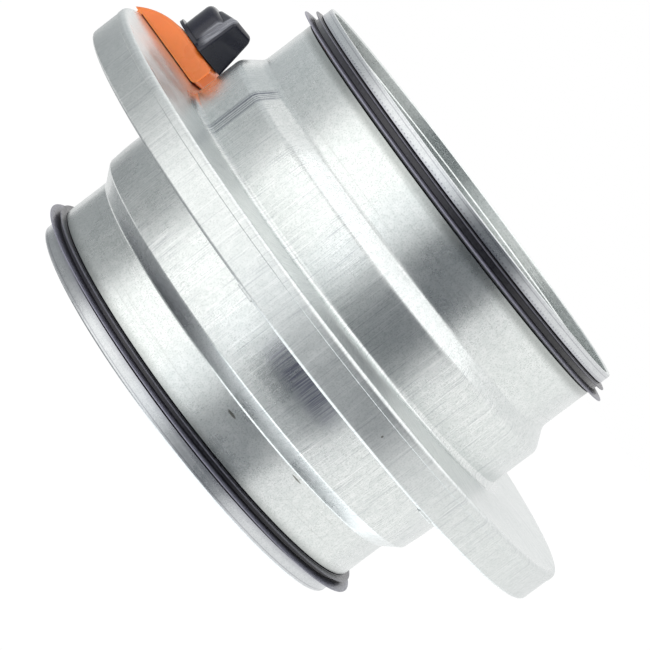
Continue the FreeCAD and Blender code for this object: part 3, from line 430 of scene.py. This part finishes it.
def scale_sheet(name):
    """Zinc sheet with plain ticks beside the pointer window."""
    material = galvanised_steel(name)
    tree = material.node_tree
    colour = surface_shader(material).inputs["Base Color"]
    zinc = colour.links[0].from_socket
    axes = duct_axes(tree)
    angle = minus(tree, turn_angle(tree, axes), math.radians(POINTER_AZIMUTH))
    step = math.radians(TICK_STEP)
    whole_steps = 20
    steps = plus(tree, math_node(tree, "DIVIDE", angle, step), whole_steps + 0.5)
    off_tick = math_node(tree, "ABSOLUTE", minus(tree, math_node(tree, "FRACT", steps), 0.5))
    ring = at_radii(tree, axes, TICKS_FROM, TICKS_TO, 0.1)
    ticks = times(tree, stretch(tree, off_tick, 0.16, 0.10), ring)
    reach = step * TICK_SPAN
    ticks = times(tree, between(tree, angle, -reach, reach, 0.001), ticks)
    link(tree, mix_colour(tree, ticks, zinc, (0.015, 0.015, 0.018)), colour)
    return material


# ---------------------------------------------------------------- rubber and plastics

def gasket_rubber(name, dark, light):
    """Black rubber with random dust, painted lighter toward the lip tips as a painted highlight and darker
    in the groove between them as painted shade.
    """
    material, tree, shader = new_material(name)
    axes = duct_axes(tree)
    dust = noise(tree, object_coordinates(tree), 900.0, 3.0)
    # Painted highlight that grows with radius toward the lip tips, and painted shade low in the groove.
    lip_highlight = stretch(tree, axes.radius, 62.8 * MM, 66.0 * MM)
    painted_light_with_marks = plus(tree, lip_highlight, times(tree, minus(tree, dust, 0.5), 0.5))
    link(tree, mix_colour(tree, painted_light_with_marks, dark, light), shader.inputs["Base Color"])
    link(tree, stretch(tree, dust, 0.3, 0.7, 0.26, 0.40), shader.inputs["Roughness"])
    shader.inputs["Specular IOR Level"].default_value = 0.6
    return material


def knob_plastic(name, colour, lit_and_scuffed, roughness):
    """Black plastic. The bar's long side that faces the light is painted lighter, as painted light, and
    scuffed along the knob's axis.
    """
    material, tree, shader = new_material(name)
    x, y, z = split_coordinates(tree)
    turn = math.radians(KNOB_SIDE_AZIMUTH)
    out = plus(tree, y, KNOB_CIRCLE * MM)
    beside = plus(tree, times(tree, x, math.cos(turn)), times(tree, out, math.sin(turn)))
    ahead = minus(tree, times(tree, out, math.cos(turn)), times(tree, x, math.sin(turn)))
    scratch_lines = join_coordinates(tree, times(tree, ahead, 2600.0), times(tree, z, 130.0))
    scratch = noise(tree, scratch_lines, 1.0, 2.0)
    lean = times(tree, minus(tree, z, BAR_LOW * MM), BAR_LEAN / (BAR_TOP - BAR_LOW))
    end_starts, end_stops = (BAR_REACH - 0.5) * MM, (BAR_REACH - 0.9) * MM
    # Painted light: the long side facing the lamp is made lighter, and scuffs vary it.
    side = times(
        tree,
        stretch(tree, beside, 2.6 * MM, 3.1 * MM),
        stretch(tree, ahead, 4.8 * MM, 6.0 * MM),
        stretch(tree, z, 62.5 * MM, 65.0 * MM),
        stretch(tree, plus(tree, ahead, lean), end_starts, end_stops),
    )
    light_and_scuffs = plus(tree, 0.45, times(tree, stretch(tree, scratch, 0.4, 0.65), 0.55))
    painted_light_with_marks = times(tree, side, light_and_scuffs)
    link(tree, mix_colour(tree, painted_light_with_marks, colour, lit_and_scuffed), shader.inputs["Base Color"])
    cloud = noise(tree, object_coordinates(tree), 300.0, 3.0)
    rough = stretch(tree, cloud, 0.3, 0.7, roughness - 0.06, roughness + 0.08)
    link(tree, rough, shader.inputs["Roughness"])
    bump(tree, shader, scratch, 0.02 * MM, 0.5)
    return material


def plain_plastic(name, colour, roughness):
    """Moulded plastic or rubber with a fine grain and slight clouds."""
    material, tree, shader = new_material(name)
    coordinates = object_coordinates(tree)
    cloud = noise(tree, coordinates, 120.0, 3.0)
    fine = noise(tree, coordinates, 2600.0, 2.0)
    dark = tuple(c * 0.88 for c in colour)
    link(tree, mix_colour(tree, stretch(tree, cloud, 0.3, 0.7), dark, colour), shader.inputs["Base Color"])
    rough = stretch(tree, cloud, 0.3, 0.7, roughness - 0.04, roughness + 0.05)
    link(tree, rough, shader.inputs["Roughness"])
    bump(tree, shader, fine, 0.02 * MM, 0.5)
    return material


def cover_plastic(name, colour, roughness, milky, end_painted_light):
    """Milky plastic. A faint glow at its inner end is painted light: it lifts the shaded end face and stands
    in for light that comes through.
    """
    material = plain_plastic(name, colour, roughness)
    tree, shader = material.node_tree, surface_shader(material)
    shader.inputs["Subsurface Weight"].default_value = milky
    shader.inputs["Subsurface Radius"].default_value = (1.0, 0.4, 0.12)
    shader.inputs["Subsurface Scale"].default_value = 4.0 * MM
    # Painted light on the shaded inner end.
    painted_light_zone = stretch(tree, duct_axes(tree).radius, (COVER_END_R + 1.0) * MM, COVER_END_R * MM)
    shader.inputs["Emission Color"].default_value = (*colour, 1.0)
    link(tree, times(tree, painted_light_zone, end_painted_light), shader.inputs["Emission Strength"])
    return material


FINISH = {
    "galvanised_steel": galvanised_steel("galvanised_steel"),
    "gasket_rubber": gasket_rubber("gasket_rubber", (0.022, 0.021, 0.030), (0.24, 0.235, 0.30)),
    "cover_plastic": cover_plastic("cover_plastic", (0.95, 0.225, 0.040), 0.30, 0.35, 0.30),
    "knob_plastic": knob_plastic("knob_plastic", (0.009, 0.010, 0.022), (0.32, 0.325, 0.36), 0.22),
    "guide_plastic": plain_plastic("guide_plastic", (0.80, 0.79, 0.74), 0.4),
    "cap_rubber": plain_plastic("cap_rubber", (0.03, 0.03, 0.034), 0.5),
    "rivet_steel": galvanised_steel("rivet_steel"),
    "scale_sheet": scale_sheet("scale_sheet"),
}

for part in frame["record"]["subparts"]:
    mesh = nodes[part["node"]].data
    mesh.materials.clear()
    mesh.materials.append(FINISH[part["material_slot"]])


# ---------------------------------------------------------------- making pieces

ROUND_STEPS = 320
HUB_STEPS = 96
WINDOW_STEPS = 24
TAB_STEPS = 8
BEND_SEGMENTS = 6
EDGE_SEGMENTS = 6
CORNER_SEGMENTS = 8
CREASE = 38.0
SAME_PLACE = 0.01
MERGE_DISTANCE = 0.0005


def round_edges(form, edges, offset, segments):
    bmesh.ops.bevel(
        form, geom=edges, offset=offset * MM, offset_type="OFFSET",
        segments=segments, profile=0.5, affect="EDGES", material=-1,
    )


def bend_size(before, corner, after, radius):
    """How far from its corner a bend of this radius starts."""
    way_in = (Vector(corner[:2]) - Vector(before[:2])).normalized()
    way_out = (Vector(after[:2]) - Vector(corner[:2])).normalized()
    return radius * math.tan(way_in.angle(way_out) / 2)


def ring_edges(form, radius, height):
    """The edges that run round the duct axis at this radius and height."""
    def on_ring(vert):
        off_height = abs(vert.co.z - height * MM)
        off_radius = abs(vert.co.xy.length - radius * MM)
        return max(off_height, off_radius) < SAME_PLACE * MM

    return [edge for edge in form.edges if all(on_ring(vert) for vert in edge.verts)]


def turned_form(corners, start=0.0, sweep=math.tau, steps=ROUND_STEPS):
    """A closed section swept about the duct axis. A corner is (radius, height, bend radius)."""
    form = bmesh.new()
    section = [form.verts.new((radius * MM, 0.0, height * MM)) for radius, height, bend in corners]
    edges = [form.edges.new((section[i - 1], section[i])) for i in range(len(section))]
    whole = sweep == math.tau
    turned = section + edges
    if not whole:
        turned = turned + [form.faces.new(section)]
    bmesh.ops.spin(
        form, geom=turned, cent=(0.0, 0.0, 0.0), axis=(0.0, 0.0, 1.0), dvec=(0.0, 0.0, 0.0),
        angle=sweep, steps=steps, use_merge=whole, use_duplicate=False,
    )
    bmesh.ops.remove_doubles(form, verts=form.verts, dist=MERGE_DISTANCE * MM)
    for i, (radius, height, bend) in enumerate(corners):
        if bend:
            offset = bend_size(corners[i - 1], corners[i], corners[(i + 1) % len(corners)], bend)
            round_edges(form, ring_edges(form, radius, height), offset, BEND_SEGMENTS)
    turn_about_axis(form, start)
    bmesh.ops.recalc_face_normals(form, faces=form.faces)
    return form


def turn_about_axis(form, angle):
    turn = Matrix.Rotation(angle, 3, "Z")
    bmesh.ops.rotate(form, verts=form.verts, cent=(0.0, 0.0, 0.0), matrix=turn)


def placed_object(name, form):
    """Puts a form into the scene as an object of this name."""
    mesh = bpy.data.meshes.new(name)
    form.to_mesh(mesh)
    form.free()
    placed = bpy.data.objects.new(name, mesh)
    bpy.context.scene.collection.objects.link(placed)
    return placed


def new_piece(name, form, slot_name, body, *replaced):
    """Turns a form into a shown piece with smooth sides, sharp creases, its material and its body."""
    piece = placed_object(name, form)
    finish_surface(piece)
    piece.data.materials.append(FINISH[slot_name])
    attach(piece, body)
    if replaced:
        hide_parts(*replaced)
    return piece


def finish_surface(piece):
    for polygon in piece.data.polygons:
        polygon.use_smooth = True
    piece.data.set_sharp_from_angle(angle=math.radians(CREASE))
    even = piece.modifiers.new("even_normals", "WEIGHTED_NORMAL")
    even.weight = 80
    even.keep_sharp = True


def cut_out(piece, form):
    """Cuts a form out of a piece's mesh."""
    cutter = placed_object("cutter", form)
    piece.modifiers.remove(piece.modifiers["even_normals"])
    step = piece.modifiers.new("cut_out", "BOOLEAN")
    step.operation = "DIFFERENCE"
    step.solver = "EXACT"
    step.object = cutter
    bpy.context.view_layer.update()
    before = piece.data
    shown = piece.evaluated_get(bpy.context.evaluated_depsgraph_get())
    after = bpy.data.meshes.new_from_object(shown)
    piece.modifiers.remove(step)
    piece.data = after
    after.name = piece.name
    bpy.data.meshes.remove(before)
    bpy.data.objects.remove(cutter)
    finish_surface(piece)


# ---------------------------------------------------------------- turned sheet metal

def spigot_section(end, gasket_sides):
    """Outside corners of a spigot from its end inward, and the inside corners beside them."""
    near, far = sorted(gasket_sides, key=lambda height: abs(height - end))
    flank = math.copysign(GROOVE_FLANK, far - near)
    groove = DUCT_R - GROOVE_DEPTH
    hem_bend = SHEET * 0.8
    outside = [
        (DUCT_R, end, hem_bend),
        (DUCT_R, near - flank, 0.15),
        (groove, near, 0.0),
        (groove, far, 0.0),
        (DUCT_R, far + flank, 0.15),
    ]
    inside = [
        (HEM_R, end, hem_bend),
        (HEM_R, near - flank, 0.15),
        (groove - SHEET, near, 0.2),
        (groove - SHEET, far, 0.2),
        (DUCT_R - SHEET, far + flank, 0.2),
    ]
    return outside, inside


def rear_shell():
    outside, inside = spigot_section(REAR_END, REAR_GASKET)
    band = DRUM_R - SEAM_STEP
    lap = DRUM_R - SHEET - LAP_GAP
    floor = DRUM_REAR + SHEET
    corners = outside + [
        (DUCT_R, REAR_CONE, 0.9),
        (NECK_R - NECK_SWELL, REAR_NECK, 0.9),
        (NECK_R, REAR_NECK + SWELL_RUN, SWELL_BEND),
        (NECK_R, DRUM_REAR, 1.8),
        (band, DRUM_REAR, 0.9),
        (band, SEAM, 0.0),
        (lap, SEAM, 0.0),
        (lap, SEAM + LAP_WIDTH, 0.0),
        (lap - SHEET, SEAM + LAP_WIDTH, 0.0),
        (lap - SHEET, SEAM - SHEET, 0.0),
        (band - SHEET, SEAM - SHEET, 0.0),
        (band - SHEET, floor, 0.3),
        (NECK_R - SHEET, floor, 2.4),
        (NECK_R - SHEET, REAR_NECK, 2.4),
        (DUCT_R - SHEET, REAR_CONE, 1.5),
    ] + inside[::-1]
    new_piece("rear_shell_sheet", turned_form(corners), "galvanised_steel", "housing", "rear_shell")


def front_shell():
    outside, inside = spigot_section(FRONT_END, FRONT_GASKET)
    ceiling = DRUM_FACE - SHEET
    corners = [
        (DRUM_R, SEAM, 0.2),
        (DRUM_R, DRUM_FACE, 1.5),
        (NECK_R, DRUM_FACE, 1.8),
        (NECK_R, FRONT_CONE, 3.0),
        (DUCT_R, FRONT_SPIGOT, 3.0),
    ] + outside[::-1] + inside + [
        (DUCT_R - SHEET, FRONT_SPIGOT, 3.6),
        (NECK_R - SHEET, FRONT_CONE, 2.4),
        (NECK_R - SHEET, ceiling, 2.4),
        (DRUM_R - SHEET, ceiling, 0.9),
        (DRUM_R - SHEET, SEAM, 0.2),
    ]
    form = turned_form(corners)
    shell = new_piece("front_shell_sheet", form, "galvanised_steel", "housing", "front_shell")
    cut_out(shell, pointer_window(ceiling - SHEET, DRUM_FACE + SHEET))


def pointer_window(low, high):
    """The curved opening with round ends in which the pointer shows."""
    inner, outer = POINTER_CIRCLE - WINDOW_HALF_WIDTH, POINTER_CIRCLE + WINDOW_HALF_WIDTH
    section = [(inner, low, 0.0), (outer, low, 0.0), (outer, high, 0.0), (inner, high, 0.0)]
    reach = WINDOW_HALF_ANGLE + math.degrees(WINDOW_HALF_WIDTH / POINTER_CIRCLE)
    start, sweep = math.radians(POINTER_AZIMUTH - reach), math.radians(2 * reach)
    form = turned_form(section, start, sweep, WINDOW_STEPS)
    ends = [edge for edge in form.edges if is_upright(edge) and is_window_end(edge)]
    round_edges(form, ends, WINDOW_HALF_WIDTH * WINDOW_END_SHARE, CORNER_SEGMENTS)
    bmesh.ops.recalc_face_normals(form, faces=form.faces)
    return form


def is_upright(edge):
    first, second = edge.verts
    return abs(first.co.z - second.co.z) > SHEET * MM


def is_window_end(edge):
    """Whether an upright edge has a sharp corner between two upright faces."""
    upright_faces = [f for f in edge.link_faces if f.calc_area() > MM * MM and abs(f.normal.z) < 0.1]
    return len(upright_faces) == 2 and edge.calc_face_angle(0.0) > 1.0


def fold_tab(name, azimuth):
    """A short pressed tab where the drum's fold shows at its rear edge."""
    section = [
        (DRUM_R - 2.4, DRUM_REAR + 0.3, 0.0),
        (DRUM_R - 0.30, DRUM_REAR + 0.9, 0.0),
        (DRUM_R - 0.45, DRUM_REAR - 0.35, 0.25),
        (DRUM_R - 1.6, DRUM_REAR - 0.4, 0.2),
    ]
    reach = math.degrees(FOLD_TAB_HALF_WIDTH / DRUM_R)
    start, sweep = math.radians(azimuth - reach), math.radians(2 * reach)
    new_piece(name, turned_form(section, start, sweep, TAB_STEPS), "galvanised_steel", "housing")


# ---------------------------------------------------------------- gaskets and knob

def gasket(name, node, sides, lips):
    """A ring in its groove with a tall and a short lip at these heights along the duct."""
    groove = DUCT_R - GROOVE_DEPTH
    low, high = sides
    top = DUCT_R + GASKET_PROUD
    corners = [(groove, high, 0.0), (groove, low, 0.0), (DUCT_R, low, 0.05)]
    shapes = ((TALL_LIP_REACH, TALL_LIP_ROOT), (SHORT_LIP_REACH, SHORT_LIP_ROOT))
    for middle, (reach, root) in zip(lips, shapes):
        corners += [
            (top, middle - root / 2, 0.1),
            (DUCT_R + reach, middle - LIP_HALF_TIP, 0.12),
            (DUCT_R + reach, middle + LIP_HALF_TIP, 0.12),
            (top, middle + root / 2, 0.1),
        ]
    corners.append((DUCT_R, high, 0.05))
    new_piece(name, turned_form(corners), "gasket_rubber", "housing", node)


def move_to_knob(form):
    bmesh.ops.translate(form, verts=form.verts, vec=(0.0, -KNOB_CIRCLE * MM, 0.0))


def knob_hub():
    core_r = 0.5
    section = [
        (core_r, HUB_LOW, 0.0),
        (HUB_R, HUB_LOW, 0.0),
        (HUB_R, HUB_TOP, HUB_BEND),
        (core_r, HUB_TOP, 0.0),
    ]
    form = turned_form(section, steps=HUB_STEPS)
    move_to_knob(form)
    new_piece("knob_hub", form, "knob_plastic", "knob_drive", "knob")


def knob_bar():
    """The bar across the knob: it narrows and leans back toward its top, and its edges are rounded."""
    form = bmesh.new()
    bmesh.ops.create_cube(form, size=1.0)
    length, tall = BAR_TAIL + BAR_REACH, BAR_TOP - BAR_LOW
    middle_x, middle_z = (BAR_REACH - BAR_TAIL) / 2 * MM, (BAR_LOW + BAR_TOP) / 2 * MM
    bmesh.ops.scale(form, verts=form.verts, vec=(length * MM, BAR_WIDTH * MM, tall * MM))
    bmesh.ops.translate(form, verts=form.verts, vec=(middle_x, 0.0, middle_z))
    top = [v for v in form.verts if v.co.z > middle_z]
    top_end = [v for v in top if v.co.x > 0.0]
    top_tail = [v for v in top if v.co.x < 0.0]
    bmesh.ops.scale(form, verts=top, vec=(1.0, BAR_TOP_WIDTH / BAR_WIDTH, 1.0))
    bmesh.ops.translate(form, verts=top_end, vec=(-BAR_LEAN * MM, 0.0, 0.0))
    bmesh.ops.translate(form, verts=top_tail, vec=(0.0, 0.0, -BAR_TAIL_DROP * MM))
    corner = [e for e in form.edges if all(v in top_end for v in e.verts)]
    round_edges(form, corner, BAR_CORNER, CORNER_SEGMENTS)
    long_faces = [f for f in form.faces if abs(f.normal.y) > 0.9]
    rounded = [
        e for f in long_faces for e in f.edges
        if max(v.co.z for v in e.verts) > HUB_LOW * MM and max(v.co.x for v in e.verts) > 0.0
    ]
    round_edges(form, rounded, BAR_EDGE, EDGE_SEGMENTS)
    turn_about_axis(form, math.radians(KNOB_SIDE_AZIMUTH + 90.0))
    move_to_knob(form)
    bmesh.ops.recalc_face_normals(form, faces=form.faces)
    new_piece("knob_bar", form, "knob_plastic", "knob_drive")


rear_shell()
front_shell()
knob_hub()
knob_bar()
for number, azimuth in enumerate(FOLD_TAB_AZIMUTHS, 1):
    fold_tab(f"fold_tab_{number}", azimuth)
gasket("rear_gasket_rubber", "rear_gasket", REAR_GASKET, REAR_LIPS)
gasket("front_gasket_rubber", "front_gasket", FRONT_GASKET, FRONT_LIPS)


# ---------------------------------------------------------------- studio

# The photograph's camera, fitted to the outlines. Each direction has its share along the duct, across it
# toward the upper outline, and toward the viewer.
OUTLINE_AZIMUTH = -76.5
VIEWER_AZIMUTH = 13.5
LEVEL_RIGHT = (0.99441, -0.0300, -0.10123)
LEVEL_DOWN = (-0.02925, -0.99953, 0.00885)
LEVEL_AWAY = (-0.10145, -0.00584, -0.99482)
CAMERA_ROLL = 35.4
TARGET_HEIGHT = 44.77
TARGET_RIGHT, TARGET_DOWN, TARGET_AWAY = 0.468, -4.818, 822.5
SENSOR_WIDTH = 36.0
LENS = 166.87

FLOOR_HEIGHT = -0.2
FLOOR_HALF_WIDTH = 6.0
FLOOR_GLOW = 1.06
FLOOR_SEEN_SHARE = 0.92
AIR_STRENGTH = 0.62
LOOK_POINT = Vector((0.0, 0.0, 0.05))
WHITE = (1.0, 1.0, 1.0)


def directly_seen(tree):
    """One for rays from the camera and for mirrored or passed light, zero for light on matt surfaces."""
    path = tree.nodes.new("ShaderNodeLightPath")
    seen = larger(tree, path.outputs["Is Camera Ray"], path.outputs["Is Glossy Ray"])
    return larger(tree, seen, path.outputs["Is Transmission Ray"])


def mixed_shader(tree, share, first, second):
    mix = tree.nodes.new("ShaderNodeMixShader")
    for place, source in enumerate((share, first, second)):
        link(tree, source, mix.inputs[place])
    return mix.outputs[0]


def air_light(tree, colour, strength):
    light = tree.nodes.new("ShaderNodeBackground")
    light.inputs["Color"].default_value = (*colour, 1.0)
    light.inputs["Strength"].default_value = strength
    return light.outputs[0]


def background_world():
    world = bpy.data.worlds.new("studio_air")
    bpy.context.scene.world = world
    world.use_nodes = True
    tree = world.node_tree
    tree.nodes.clear()
    output = tree.nodes.new("ShaderNodeOutputWorld")
    seen = air_light(tree, WHITE, 1.0)
    air = air_light(tree, (0.97, 0.985, 1.0), AIR_STRENGTH)
    link(tree, mixed_shader(tree, directly_seen(tree), air, seen), output.inputs[0])


def floor_paper():
    material, tree, output = empty_material("floor_paper")
    paper = tree.nodes.new("ShaderNodeBsdfDiffuse")
    paper.inputs["Color"].default_value = (0.9, 0.9, 0.9, 1.0)
    glow = tree.nodes.new("ShaderNodeEmission")
    glow.inputs["Strength"].default_value = FLOOR_GLOW
    share = times(tree, directly_seen(tree), FLOOR_SEEN_SHARE)
    link(tree, mixed_shader(tree, share, paper.outputs[0], glow.outputs[0]), output.inputs[0])
    return material


def studio_floor():
    form = bmesh.new()
    bmesh.ops.create_grid(form, x_segments=1, y_segments=1, size=FLOOR_HALF_WIDTH)
    form.transform(Matrix.Translation((0.0, 0.0, FLOOR_HEIGHT)))
    floor = placed_object("studio_floor", form)
    floor.data.materials.append(floor_paper())


def at_azimuth(azimuth, distance, height):
    turn = math.radians(azimuth)
    return Vector((math.cos(turn) * distance, math.sin(turn) * distance, height))


def card_glow(name, colour, strength, fade):
    """A card's glow. A fade is a direction, its start and end along it, and the strength at its end."""
    material, tree, output = empty_material(name)
    glow = tree.nodes.new("ShaderNodeEmission")
    glow.inputs["Color"].default_value = (*colour, 1.0)
    glow.inputs["Strength"].default_value = strength
    if fade:
        direction, start, end, last = fade
        dot = tree.nodes.new("ShaderNodeVectorMath")
        dot.operation = "DOT_PRODUCT"
        link(tree, object_coordinates(tree), dot.inputs[0])
        dot.inputs[1].default_value = direction
        faded = stretch(tree, dot.outputs["Value"], start, end, strength, last)
        link(tree, faded, glow.inputs["Strength"])
    link(tree, glow.outputs[0], output.inputs[0])
    return material


def studio_card(name, spot, aim, width, tall, colour, strength, tilt, fade):
    """A card that the metal reflects. The camera doesn't see it and it throws no shadow."""
    form = bmesh.new()
    bmesh.ops.create_grid(form, x_segments=1, y_segments=1, size=0.5)
    bmesh.ops.scale(form, verts=form.verts, vec=(width, tall, 1.0))
    form.transform(Matrix.Rotation(math.radians(tilt), 4, "Z"))
    facing = (aim - spot).to_track_quat("Z", "Y")
    form.transform(Matrix.Translation(spot) @ facing.to_matrix().to_4x4())
    card = placed_object(name, form)
    card.data.materials.append(card_glow(name, colour, strength, fade))
    card.visible_camera = False
    card.visible_diffuse = False
    card.visible_shadow = False


def wall_card(name, azimuth, distance, width, colour, strength, height=0.05, tall=0.9, tilt=0.0, fade=None):
    spot, aim = at_azimuth(azimuth, distance, height), Vector((0.0, 0.0, height))
    studio_card(name, spot, aim, width, tall, colour, strength, tilt, fade)


def level_card(name, height, width, colour, strength, fade=None):
    studio_card(name, Vector((0.0, 0.0, height)), LOOK_POINT, width, width, colour, strength, 0.0, fade)


def soft_lamp(name, azimuth, distance, height, width, tall, watts):
    data = bpy.data.lights.new(name, "AREA")
    data.shape = "RECTANGLE"
    data.size = width
    data.size_y = tall
    data.energy = watts
    lamp = bpy.data.objects.new(name, data)
    lamp.visible_glossy = False
    spot = at_azimuth(azimuth, distance, height)
    facing = (spot - LOOK_POINT).to_track_quat("Z", "Y")
    lamp.matrix_world = Matrix.Translation(spot) @ facing.to_matrix().to_4x4()
    bpy.context.scene.collection.objects.link(lamp)


def photo_camera():
    """The camera stands beside the knob, a little in front of the drum, and is rolled about its view."""
    duct_axis = Vector((0.0, 0.0, 1.0))
    up_side, near_side = at_azimuth(OUTLINE_AZIMUTH, 1.0, 0.0), at_azimuth(VIEWER_AZIMUTH, 1.0, 0.0)

    def in_part(shares):
        along, across, towards = shares
        return duct_axis * along + up_side * across + near_side * towards

    level_right, level_down, level_away = in_part(LEVEL_RIGHT), in_part(LEVEL_DOWN), in_part(LEVEL_AWAY)
    roll = math.radians(CAMERA_ROLL)
    right = level_right * math.cos(roll) + level_down * math.sin(roll)
    back = -level_away
    right = (right - back * right.dot(back)).normalized()
    back.normalize()
    up = back.cross(right)
    target = Vector((0.0, 0.0, TARGET_HEIGHT * MM))
    way = level_right * TARGET_RIGHT + level_down * TARGET_DOWN + level_away * TARGET_AWAY
    data = bpy.data.cameras.new("photo_camera")
    data.sensor_width = SENSOR_WIDTH
    data.lens = LENS
    data.clip_start = 0.01
    camera = bpy.data.objects.new("photo_camera", data)
    facing = Matrix((right, up, back)).transposed().to_4x4()
    camera.matrix_world = Matrix.Translation(target - way * MM) @ facing
    bpy.context.scene.collection.objects.link(camera)
    bpy.context.scene.camera = camera


background_world()
studio_floor()
soft_lamp("key_lamp", azimuth=-32.0, distance=0.95, height=0.25, width=0.6, tall=0.8, watts=4.0)

away_from_knob = at_azimuth(OUTLINE_AZIMUTH + 180.0, 1.0, 0.0)
along_duct = Vector((0.0, 0.0, 1.0))
wall_card("key_card", -29.5, 0.7, 0.57, (1.0, 1.0, 0.985), 1.5, tilt=10.0)
wall_card("turn_card", 8.0, 0.74, 0.50, (0.97, 0.99, 1.0), 1.4, fade=(away_from_knob, -0.20, 0.18, 0.30))
wall_card("dark_card", 42.0, 0.68, 0.50, (0.84, 0.91, 1.0), 0.19, height=0.25, tall=0.86, tilt=8.0)
wall_card("low_card", 108.0, 0.7, 0.86, (1.0, 1.0, 0.99), 1.12)
wall_card("side_card", -112.0, 0.7, 0.60, (0.94, 0.98, 1.0), 0.40, fade=(along_duct, -0.04, 0.04, 0.7))
wall_card("fall_card", -76.0, 0.73, 0.36, (0.96, 0.99, 1.0), 0.42, fade=(along_duct, -0.04, 0.03, 0.72))
level_card("under_card", -0.18, 0.7, (0.95, 0.98, 1.0), 0.45, fade=(away_from_knob, -0.070, -0.015, 1.7))
level_card("over_card", 0.75, 1.1, WHITE, 1.6)
photo_camera()
bpy.context.scene.view_settings.view_transform = "Standard"
